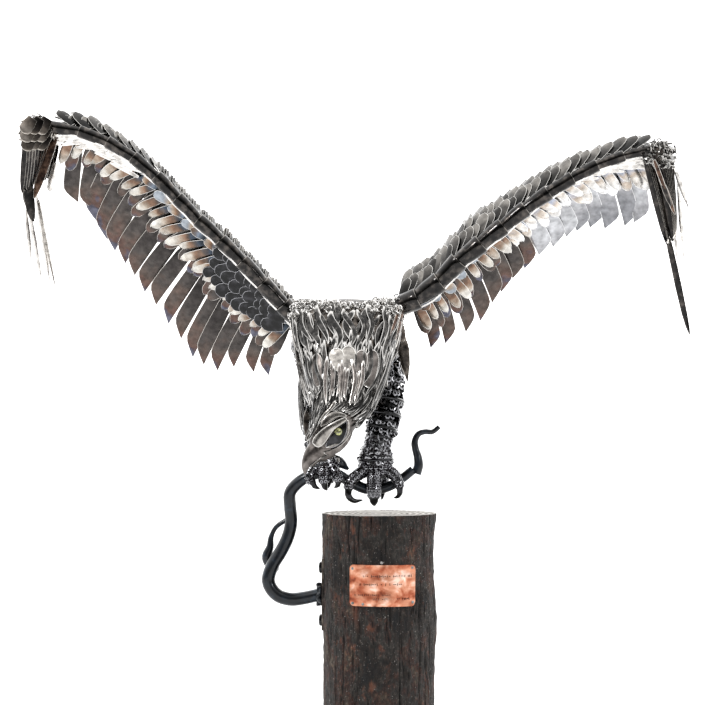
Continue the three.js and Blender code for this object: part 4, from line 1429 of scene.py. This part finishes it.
RIGHT_TOES = [
    ([(-184, -32, 892), (-204, -48, 876), (-206, -56, 856), (-196, -58, 844)], (17, 16, 13, 11),
     [(-197, -58, 848), (-190, -58, 832), (-176, -52, 826)], (10, 8, 2)),
    ([(-164, -38, 890), (-164, -60, 870), (-164, -66, 852), (-163, -64, 842)], (17, 17, 14, 12),
     [(-163, -64, 846), (-160, -60, 830), (-154, -48, 822)], (11, 9, 3)),
    ([(-142, -34, 886), (-128, -50, 870), (-122, -56, 856), (-121, -54, 846)], (16, 15, 13, 11),
     [(-121, -54, 850), (-122, -52, 836), (-132, -44, 828)], (10, 8, 2)),
    ([(-150, 14, 886), (-146, 32, 868), (-148, 34, 846), (-150, 32, 840)], (16, 15, 13, 11),
     [(-150, 32, 844), (-152, 28, 830), (-158, 18, 820)], (10, 7, 2))]


def foot(side, palm, toes):
    """A foot: the palm, with each toe wound in chain down to its bare claw."""
    made = [form_piece("palm", palm, 24, 8)]
    claws = []
    rng = random.Random(len(side))
    nut = nut_pattern()
    places = []
    for points, radii, claw_points, claw_radii in toes:
        made.append(round_bar("toe", points, radii))
        claws.append(round_bar("claw", claw_points, claw_radii))
        line = Line(points)
        rings = max(5, round(line.length / (9.5 * MM)))
        for k in range(rings):
            share = 0.1 + 0.88 * k / rings
            centre, ahead = line.at_reach(share), line.ahead(share)
            across = ahead.cross(FRONT).normalized()
            radius = along(radii, share) * MM
            count = max(7, round(math.tau * radius / (10 * MM)))
            for i in range(count):
                angle = math.tau * (i + 0.5 * (k % 2)) / count
                out = across * math.cos(angle) + across.cross(ahead) * math.sin(angle)
                size = rng.uniform(9.5, 12.5) * MM
                places.append((stand(centre + out * radius, ahead, out, (size, size, size)),
                               rng.random()))
    around = 22
    for k in range(3):
        for i in range(around):
            point, ahead, out = palm.at(0.15 + 0.33 * k, 360 * (i + 0.5 * (k % 2)) / around,
                                        rng.uniform(-1, 3) * MM)
            size = rng.uniform(11, 15) * MM
            places.append((stand(point, ahead, out, (size, size, size)), rng.random()))
    core = join(f"{side}_foot_core", made)
    smooth(core, 60)
    fit_out(core, GLOSSY, "dark_steel", f"{side}_foot")
    bare = join(f"{side}_foot_claws", claws)
    smooth(bare, 60)
    fit_out(bare, GLOSSY, "dark_steel")
    chain = copies(f"{side}_foot_chain", nut, places)
    scrap(nut)
    fit_out(chain, GLOSSY, "dark_steel")


LEFT_PALM = Form([(-8, -8, 902, 44, 40), (-8, -10, 884, 50, 42), (-8, -12, 862, 44, 36)],
                 (1, 0, 0))
RIGHT_PALM = Form([(-166, -14, 908, 34, 34), (-164, -16, 890, 44, 40), (-162, -18, 866, 40, 36)],
                  (1, 0, 0))


def tail():
    """The plain fan of tail feathers, its cut edges eased."""
    fan = merged_copy("eagle_tail", "eagle_tail_fan")
    modify(fan, "BEVEL", width=0.6 * MM, segments=2, limit_method="ANGLE",
           angle_limit=math.radians(40))
    smooth(fan, 40)
    fit_out(fan, BLACK, "tinted_steel", "eagle_tail")


# ---------------------------------------------------------------- wing tips

def blade_between(root, tip, width, turn, pattern, tone):
    """One blade from root to tip in millimetres. turn is how far round it faces, with 0
    facing the front."""
    root, tip = Vector(root) * MM, Vector(tip) * MM
    ahead = tip - root
    facing = math.radians(turn)
    face = FRONT * math.cos(facing) + RIGHT * math.sin(facing)
    plate = sized_plate(pattern, ahead.length, width * MM)
    blade = copies("blade", plate, [(stand(root, ahead, face), tone)])
    scrap(plate)
    return blade


def wing_tip(side, knot, blades):
    """The folded hand: scales over the wrist, and the long primaries that hang from it."""
    core = form_piece(f"{side}_wrist_knot", knot, 24, 16)
    fit_out(core, BLACK, "dark_steel", f"{side}_wing_tip")
    rng = random.Random(77)
    scale = sized_plate(ROUNDED, 52 * MM, 42 * MM)
    outward = RIGHT if side == "left" else -RIGHT
    places = []
    # rows of scales all round the wrist, except where a plate would stand on its edge
    for row in range(6):
        for i in range(9):
            point, _, out = knot.at(0.02 + 0.165 * row, 40 * (i + 0.5 * (row % 2))
                                    + rng.uniform(-6, 6), rng.uniform(1, 5) * MM)
            hang = outward * (0.7 + rng.uniform(-0.2, 0.2)) - UP * 0.75
            down = hang - out * hang.dot(out)
            if down.length < 0.35 or row == 0:
                continue
            down = (down.normalized() + out * 0.16).normalized()
            places.append((stand(point - down * 20 * MM, down, out), rng.random()))
    # three more rows close the front of the right wrist
    centre = knot.line.at(0)
    for row in range(3 if side == "right" else 0):
        for i in range(3):
            spot = centre + UP * (34 - 24 * row) * MM + outward * (-24 + 22 * i) * MM
            spot += FRONT * (4 + 4 * (3 - row)) * MM
            down = (outward * 0.6 - UP * 0.8 + RIGHT * rng.uniform(-0.15, 0.15)).normalized()
            places.append((stand(spot, down, FRONT + outward * 0.2), rng.random()))
    scales = copies(f"{side}_wrist_scale_plates", scale, places)
    scrap(scale)
    fit_out(scales, WORN if side == "right" else SCALE, "tinted_steel")
    for label, finish in (("dark", PIPE_STEEL), ("brown", BROWN), ("pale", BRIGHT)):
        made = [blade_between(*blade) for blade in blades[label]]
        group = join(f"{side}_wing_tip_{label}_blades", made)
        fit_out(group, finish, "tinted_steel")


RIGHT_KNOT = Form([(-1000, -128, 1888, 28, 26), (-1014, -90, 1892, 42, 38),
                   (-1016, -30, 1886, 40, 38), (-1010, 40, 1878, 30, 30),
                   (-1002, 96, 1872, 14, 16)], (1, 0, 0))
LEFT_KNOT = Form([(822, -128, 1816, 22, 20), (836, -90, 1820, 28, 30), (840, -30, 1816, 32, 34),
                  (846, 40, 1810, 26, 28), (850, 92, 1804, 12, 16)], (1, 0, 0))

# Each blade's root, tip, width, the way it faces, its pattern and its tone.
RIGHT_BLADES = {
    "dark": [((-1046 + 7 * i, -108 + 15 * i, 1880 - 2 * i),
              (-1060 + 6 * i, -100 + 15 * i, 1706 + 5 * i), 17, 24 - 3 * i, BLADE, 0.08 * i)
             for i in range(12)]
    + [((-1052, -60, 1790), (-1034, -50, 1621), 32, 10, BLADE, 0.4),
       ((-1060, -20, 1800), (-1052, -14, 1660), 26, 10, BLADE, 0.4)],
    "brown": [((-962, -74, 1868), (-1028, -64, 1692), 26, -10, BLADE, 0.3),
              ((-978, -66, 1862), (-1030, -50, 1700), 18, -10, BLADE, 0.3)],
    "pale": [((-1046, -20, 1660), (-1010, 10, 1434), 13, 10, LEAF, 0.3),
             ((-1030, 10, 1720), (-985, 40, 1416), 15, 0, LEAF, 0.6),
             ((-1020, 10, 1690), (-972, 40, 1416), 11, 20, LEAF, 0.2),
             ((-1057, -10, 1660), (-1042, 10, 1494), 12, 10, LEAF, 0.9),
             ((-966, 0, 1800), (-990, 20, 1716), 24, 0, ROUNDED, 0.9)]}
LEFT_BLADES = {
    "dark": [((780 + 8 * i, -132 + 15 * i, 1826 - 2 * i),
              (852 + 3.4 * i, -124 + 15 * i, 1545 + 4 * i), 18, -24 + 3 * i, BLADE, 0.1 * i)
             for i in range(12)]
    + [((832 + 7 * i, -116 + 12 * i, 1820), (868 + 3 * i, -108 + 12 * i, 1560 + 5 * i),
        24, -14, BLADE, 0.17 * i) for i in range(6)]
    + [((856, -60, 1600), (926, -40, 1286), 20, -10, BLADE, 0.5),
       ((826, -136, 1764), (862, -128, 1664), 15, -20, BLADE, 0.7)],
    "brown": [((812, -140, 1800), (846, -132, 1710), 13, -20, BLADE, 0.3),
              ((844, -132, 1726), (874, -124, 1640), 12, -20, BLADE, 0.2)],
    "pale": [((884, -20, 1791), (930, 0, 1664), 16, -30, LEAF, 0.3),
             ((898, 10, 1760), (926, 40, 1448), 12, -10, LEAF, 0.6),
             ((880, 20, 1700), (905, 44, 1480), 10, -10, LEAF, 0.9)]}


# ---------------------------------------------------------------- post and fixings

POST_RADIUS, POST_TOP = 168, 750
RIPPLE_DEPTH = 1.6
TOP_CHECKS = ((-95, 602), (-60, 640))    # each check's place across the front, and its foot


def bark_ripple(angle, up):
    """The broad waves of the bark round the post."""
    return math.sin(angle * 5 + up / 160) + math.sin(angle * 9 - up / 90) / 2


def bark_at(angle, up):
    """The bark at an angle round the post and a height in millimetres: how far it rises
    in millimetres, how stained it is, and the painted shade in its checks, splits and troughs."""
    out = Vector((math.cos(angle), math.sin(angle), 0))
    right, front = max(0, math.cos(angle)), angle < 0
    x = (angle + math.pi / 2) * POST_RADIUS
    fibre = noise.fractal(Vector((out.x * 26, out.y * 26, up / 60)), 0.7, 2.1, 4)
    lumps = noise.fractal(Vector((out.x * 6, out.y * 6, up / 34)), 0.8, 2.0, 3)
    crack = noise.noise(Vector((out.x * 9, out.y * 9, up / 420)))
    split = -max(0.0, 0.05 - abs(crack)) * 90
    # a knot halfway up on the right, a flare at the top there, and rough bark low in front
    knot = math.exp(-((up - 430) / 70) ** 2) * right ** 12
    flare = right ** 6 * math.exp(-((POST_TOP - up) / 55) ** 2)
    coarse = math.exp(-((angle + 1.35) / 0.45) ** 2 - ((up - 200) / 90) ** 2)
    # the old branch scar on the front, with ridges of bark that curve round it
    reach = Vector((x - 9, (up - 288) * 0.85)).length if front else 999
    ridges = math.sin(reach / 6.5) * math.exp(-(reach / 75) ** 2) * 2.6
    hollow = -math.exp(-(reach / 17) ** 2) * 5
    # two long checks that run down from the top
    checks = 0.0
    for place, foot in TOP_CHECKS:
        wander = place + 3 * math.sin(up / 23)
        if front and up > foot:
            checks = max(checks, math.exp(-((x - wander) / 2.6) ** 2)
                         * min(1, (up - foot) / 40))
    # the stain that runs down from beneath the plaque
    stain_foot, stain_top = 400, 492
    run = math.exp(-((x + 77 - (490 - up) * 0.12) / 9) ** 2) if front else 0
    stain = (run * (stain_foot < up < stain_top) * (up - stain_foot)
             / (stain_top - stain_foot))
    # dark is painted shade, deeper where the checks, splits and ridge troughs sink the bark
    dark = min(1.0, checks + max(0, -split - 1.5) * 0.4 + max(0, -ridges - 0.9) * 0.5)
    rise = (knot * 8 + bark_ripple(angle, up) * RIPPLE_DEPTH + fibre * 1.9
            + lumps * (1.6 + 3 * coarse) + split + ridges + hollow - checks * 6 + flare * 9
            - 2.0)
    return rise, stain, dark


def timber_post():
    """The round post, its charred bark shaped point by point, and its sawn ends."""
    radius, height = POST_RADIUS * MM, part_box("timber_post")[1].z
    rings = 120
    bpy.ops.object.select_all(action="DESELECT")
    bpy.ops.mesh.primitive_cylinder_add(vertices=320, radius=radius, depth=height,
                                        location=(0, 0, height / 2), end_fill_type="NGON")
    post = new_piece("charred_timber_post")
    bpy.ops.object.mode_set(mode="EDIT")
    pick(post, "FACE", lambda part: abs(part.normal.z) > 0.9)
    bpy.ops.mesh.inset(thickness=4 * MM)
    for width in (24, 40, 50, 40):
        bpy.ops.mesh.inset(thickness=width * MM)
    for i in range(1, rings):
        pick(post, "FACE", lambda part: abs(part.normal.z) < 0.1)
        bpy.ops.mesh.bisect(plane_co=(0, 0, height * i / rings), plane_no=(0, 0, 1))
    bpy.ops.object.mode_set(mode="OBJECT")
    stains, recess_shades = [], []
    for vertex in post.data.vertices:
        stain, dark = 0.0, 0.0
        if Vector((vertex.co.x, vertex.co.y)).length >= 0.985 * radius:
            angle = math.atan2(vertex.co.y, vertex.co.x)
            rise, stain, dark = bark_at(angle, vertex.co.z / MM)
            vertex.co += Vector((math.cos(angle), math.sin(angle), 0)) * rise * MM
        elif vertex.co.z > height / 2:
            vertex.co.z += noise.fractal(vertex.co * 40, 0.8, 2.0, 3) * 0.9 * MM - 1 * MM
        stains.append(stain)
        recess_shades.append(dark)
    mark_points(post.data, "stain", stains)
    mark_points(post.data, "crack", recess_shades)
    smooth(post, 60)
    fit_out(post, TIMBER, "timber", "timber_post")
    post.data.materials.append(END_GRAIN)
    for face in post.data.polygons:
        if abs(face.normal.z) > 0.8 and abs(face.center.z - height / 2) > 0.49 * height:
            face.material_index = 1


def on_post(x, z, proud):
    """A point in front of the post's face, at x and z in millimetres."""
    angle = -math.pi / 2 + x / POST_RADIUS
    reach = POST_RADIUS + bark_ripple(angle, z) * RIPPLE_DEPTH + proud
    return Vector((reach * math.cos(angle), reach * math.sin(angle), z)) * MM


def plaque():
    """The copper sheet: corners clipped round, edges beaten wavy, nailed at its corners,
    with rows of shallow dark strokes in place of its inscription."""
    middle_x, middle_z = 13, 545
    half_wide, half_tall, corner = 102, 61, 14
    bpy.ops.object.select_all(action="DESELECT")
    bpy.ops.mesh.primitive_grid_add(x_subdivisions=68, y_subdivisions=40, size=1)
    sheet = new_piece("copper_plaque_sheet")
    bpy.ops.object.mode_set(mode="EDIT")
    bpy.ops.mesh.select_all(action="SELECT")
    bpy.ops.transform.resize(value=(206, 122, 1))
    bpy.ops.object.mode_set(mode="OBJECT")
    inner_wide, inner_tall = half_wide - corner, half_tall - corner
    for vertex in sheet.data.vertices:
        x, y = vertex.co.x, vertex.co.y
        over = Vector((max(abs(x) - inner_wide, 0), max(abs(y) - inner_tall, 0)))
        if over.length > corner:
            over *= corner / over.length
            x = math.copysign(inner_wide + over.x, x)
            y = math.copysign(inner_tall + over.y, y)
        edge = max(abs(x) / half_wide, abs(y) / half_tall) ** 6
        wave = noise.noise(Vector((x / 42, y / 30, 3))) * 2.2 + edge * noise.noise(
            Vector((x / 16, y / 16, 9))) * 2.5
        tilted = y - x * 0.012
        vertex.co = on_post(x + middle_x, tilted + middle_z, 3.0 + wave * 0.8)
    modify(sheet, "SOLIDIFY", thickness=1.5 * MM, offset=0)
    smooth(sheet, 60)
    fit_out(sheet, COPPER, "copper", "copper_plaque")
    rng = random.Random(8)
    bpy.ops.object.select_all(action="DESELECT")
    bpy.ops.mesh.primitive_cube_add(size=1)
    stroke = new_piece("stroke")
    modify(stroke, "BEVEL", width=0.2, segments=1, limit_method="NONE")
    places = []
    rows = ((28, -58, 88, 8), (4, -68, 58, 9), (-27, -84, 30, 7), (-39, -30, 84, 8))
    for z, start, end, tall in rows:
        x = start
        while x < end:
            wide = rng.choice((1.6, 1.6, 4.5))
            high_mm = tall * rng.uniform(0.7, 1.0)
            lean = rng.uniform(-0.25, 0.25)
            spot = on_post(x + middle_x, z + middle_z, 4.2)
            out = Vector((spot.x, spot.y, 0)).normalized()
            size = (wide * MM, (high_mm if wide < 4 else 1.8) * MM, 1.4 * MM)
            places.append((stand(spot, UP + RIGHT * lean, out, size), rng.random()))
            x += rng.choice((5, 5.5, 6, 6.5, 12))
    strokes = copies("plaque_stamped_strokes", stroke, places)
    scrap(stroke)
    fit_out(strokes, GLOSSY, "copper")
    bpy.ops.object.select_all(action="DESELECT")
    bpy.ops.mesh.primitive_uv_sphere_add(segments=12, ring_count=8, radius=1)
    nail = new_piece("nail")
    spots = [(-92, -52), (92, -50), (-92, 50), (90, 52), (-6, 68), (-60, -54)]
    places = [(stand(on_post(x + middle_x, z + middle_z, 4.5), UP, FRONT,
                     (4.5 * MM, 4.5 * MM, 2.5 * MM)), 0.5) for x, z in spots]
    nails = copies("plaque_nails", nail, places)
    scrap(nail)
    smooth(nails, 60)
    fit_out(nails, ZINC, "copper")


# ---------------------------------------------------------------- the snake

def round_bar(name, points, radii):
    """A bent round bar, from a smooth line drawn with its thickness at each point."""
    bpy.ops.object.select_all(action="DESELECT")
    bpy.ops.curve.primitive_bezier_curve_add()
    bar = bpy.context.object
    bar.data.splines.clear()
    line = Line(points)
    count = int(line.length / (7 * MM))
    spline = bar.data.splines.new("POLY")
    spline.points.add(count)
    for i in range(count + 1):
        spline.points[i].co = (*line.at_reach(i / count), 1)
        spline.points[i].radius = along(radii, i / count) * MM
    bar.data.bevel_depth = 1.0
    bar.data.bevel_resolution = 6
    bar.data.use_fill_caps = True
    bpy.ops.object.convert(target="MESH")
    bar = new_piece(name)
    bpy.ops.object.mode_set(mode="EDIT")
    bpy.ops.mesh.select_all(action="SELECT")
    bpy.ops.mesh.remove_doubles(threshold=0.01 * MM)
    bpy.ops.mesh.normals_make_consistent(inside=False)
    bpy.ops.object.mode_set(mode="OBJECT")
    return bar


PIPE_ROUTE = [(-171, 0, 507), (-224, 0, 495), (-268, -4, 492), (-307, -6, 507),
              (-330, -6, 545), (-319, -5, 591), (-292, 0, 636), (-272, 0, 678), (-262, 0, 723),
              (-265, -4, 769), (-265, -8, 811), (-241, -12, 841), (-211, -14, 860),
              (-175, -14, 871), (-136, -14, 871), (-91, -12, 848), (-41, -8, 824),
              (4, -4, 822), (46, 0, 837), (74, 0, 856), (104, 0, 880)]


def snake():
    """The bent pipe with its weld collar, the upright tail, the head and the curled shoot."""
    pipe = round_bar("snake_bent_pipe", PIPE_ROUTE,
                     (19, 20, 20, 20, 19.5, 19, 18.5, 18, 17, 16.5, 16, 14.5, 13.5))
    bpy.ops.object.select_all(action="DESELECT")
    bpy.ops.mesh.primitive_cylinder_add(vertices=40, radius=34 * MM, depth=14 * MM,
                                        location=(-178 * MM, 0, 506 * MM),
                                        rotation=(0, math.radians(90), 0))
    collar = new_piece("weld_collar")
    modify(collar, "BEVEL", width=4 * MM, segments=3, limit_method="ANGLE",
           angle_limit=math.radians(40))
    modify(collar, "SUBSURF", subdivision_type="SIMPLE", levels=1, render_levels=1)
    for vertex in collar.data.vertices:
        vertex.co += vertex.normal * noise.noise(vertex.co * 90) * 5 * MM
    pipe = join("snake_bent_pipe", [pipe, collar])
    smooth(pipe, 50)
    fit_out(pipe, PAINT, "painted_pipe", "snake_body")
    tail = round_bar("snake_upright_tail", [
        (113, 0, 868), (120, 0, 893), (118, 0, 918), (111, 0, 942), (109, 0, 966),
        (120, 0, 987), (140, 0, 994), (160, 0, 993), (172, 0, 1000), (182, 0, 1009)],
        (15, 14.5, 13, 11, 10.5, 9, 8, 7.5, 6.5))
    smooth(tail, 50)
    fit_out(tail, PAINT, "painted_pipe", "snake_tail")
    skull = form_piece("snake_rounded_head", SNAKE_HEAD, 24, 20)
    fit_out(skull, PAINT, "painted_pipe", "snake_head")
    rings = []
    for radius, wire in ((6.5, 2.1), (2.6, 1.9)):
        bpy.ops.object.select_all(action="DESELECT")
        bpy.ops.mesh.primitive_torus_add(
            major_segments=28, minor_segments=8, major_radius=radius * MM,
            minor_radius=wire * MM, location=(-124 * MM, -18 * MM, 908 * MM),
            rotation=(math.radians(90), 0, 0))
        rings.append(new_piece("ring"))
    eye = join("snake_eye_painted_glint_rings", rings)
    smooth(eye, 60)
    # the eye's rings take the near-white ground steel as a painted glint
    fit_out(eye, BRIGHT, "painted_pipe")
    shoot = round_bar("snake_curled_shoot", [
        (-300, 27, 588), (-322, 30, 592), (-336, 27, 616), (-326, 25, 648),
        (-323, 25, 676), (-308, 25, 706), (-274, 26, 730)], (14, 17, 14, 10, 7, 7, 7))
    smooth(shoot, 50)
    fit_out(shoot, PAINT, "painted_pipe", "snake_side_shoot")


# ---------------------------------------------------------------- stage

def stage():
    """A pale floor that runs back to the white sky behind."""
    bpy.ops.object.select_all(action="DESELECT")
    bpy.ops.mesh.primitive_plane_add(size=1, location=(0, 0, 0))
    floor = new_piece("pale_floor")
    bpy.ops.object.mode_set(mode="EDIT")
    bpy.ops.mesh.select_all(action="SELECT")
    bpy.ops.transform.resize(value=(120, 120, 1), center_override=(0, 0, 0))
    bpy.ops.object.mode_set(mode="OBJECT")
    finish, _, skin = new_finish("pale_studio_floor")
    skin.inputs["Base Color"].default_value = colour("e6e6e6")
    skin.inputs["Roughness"].default_value = 0.9
    skin.inputs["Specular IOR Level"].default_value = 0.1
    floor.data.materials.append(finish)


def light(name, place, aim, size, power):
    """A square lamp, in metres and watts, turned to face a point."""
    bpy.ops.object.light_add(type="AREA", location=place)
    lamp = bpy.context.object
    lamp.name = name
    lamp.data.size = size
    lamp.data.energy = power
    lamp.rotation_euler = (Vector(aim) - Vector(place)).to_track_quat("-Z", "Y").to_euler()


def studio():
    """Bright white sky above and behind, with a dark room in front, so that the steel's
    faces stay dark and its edges catch the light."""
    world = bpy.data.worlds.new("studio")
    bpy.context.scene.world = world
    world.use_nodes = True
    tree = world.node_tree
    look = add(tree, "SeparateXYZ", {}, {"Vector": add(tree, "TexCoord").outputs["Generated"]})
    height = add(tree, "Math", {"operation": "MULTIPLY", 1: 0.75}, {0: look.outputs["Z"]})
    depth = add(tree, "Math", {"operation": "MULTIPLY_ADD", 1: 0.65},
                {0: look.outputs["Y"], 2: height.outputs[0]})
    level = add(tree, "MapRange", {"From Min": -0.35, "From Max": 0.62, "To Min": 0.12,
                                   "To Max": 2.6, "interpolation_type": "SMOOTHSTEP"},
                {"Value": depth.outputs[0]})
    tree.links.new(level.outputs["Result"], tree.nodes["Background"].inputs["Strength"])
    tree.nodes["Background"].inputs["Color"].default_value = (1, 1, 1, 1)
    light("key", (-3.0, -3.5, 5.0), (0, 0, 1.2), 0.6, 130)
    light("fill", (4.0, -4.0, 2.2), (0, 0, 1.2), 0.7, 45)
    bpy.context.scene.view_settings.view_transform = "Standard"
    # in millimetres: the camera's film, how far off it stands, and what it spans there
    sensor, distance, view = 36, 8500, 2115
    bpy.ops.object.camera_add(location=(-78 * MM, -distance * MM, 1231.5 * MM),
                              rotation=(math.radians(90), 0, 0))
    camera = bpy.context.object
    camera.data.sensor_width = sensor
    camera.data.lens = sensor * distance / view
    bpy.context.scene.camera = camera


# ---------------------------------------------------------------- making it all

studio()
stage()
for wing in (RIGHT_WING, LEFT_WING):
    wing_pipe(wing)
    pipe_trim(wing)
    wing_backing(wing)
    upper_coverts(wing)
# the left wing's outer feathers and wrist coverts take the pale sheets: a painted sky reflection
flight_feathers(RIGHT_WING, (38, 42, 47, 50, 54, 56, 50), 99)
flight_feathers(LEFT_WING, (38, 50, 56, 54, 50), 8)
under_coverts(RIGHT_WING, 0.97, (0.8, 1, 1, 1), (0.04, 0, 0, 0))
under_coverts(LEFT_WING, 0.42, (0.3, 0.5, 0.9, 1), (0.22, 0.14, 0.04, 0))
shoulder_coverts(RIGHT_WING, 9)
under_fringe(RIGHT_WING, 0.74)
under_fringe(LEFT_WING, 0.52)
body()
neck_strands()
head_strands()
head()
eyes()
breast_plates()
shoulder_curls()
thigh_strips()
side_cords()
legs()
foot("left", LEFT_PALM, LEFT_TOES)
foot("right", RIGHT_PALM, RIGHT_TOES)
tail()
wing_tip("right", RIGHT_KNOT, RIGHT_BLADES)
wing_tip("left", LEFT_KNOT, LEFT_BLADES)
wrist_curls(LEFT_KNOT)
timber_post()
plaque()
snake()
scrap(ROUNDED, POINTED, BLADE, LEAF, STRAND, BROW, FLAT_LEAF, FLAT_ROUNDED, STRAND_PLATE,
      LEAF_PLATE, BROW_PLATE, BROAD_PLATE)
# the mounting plate and its two bolts keep their shape and take these finishes
for name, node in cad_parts.items():
    if not node.hide_render:
        node.data.materials.clear()
        node.data.materials.append(GLOSSY if "bolt" in name else BLACK)
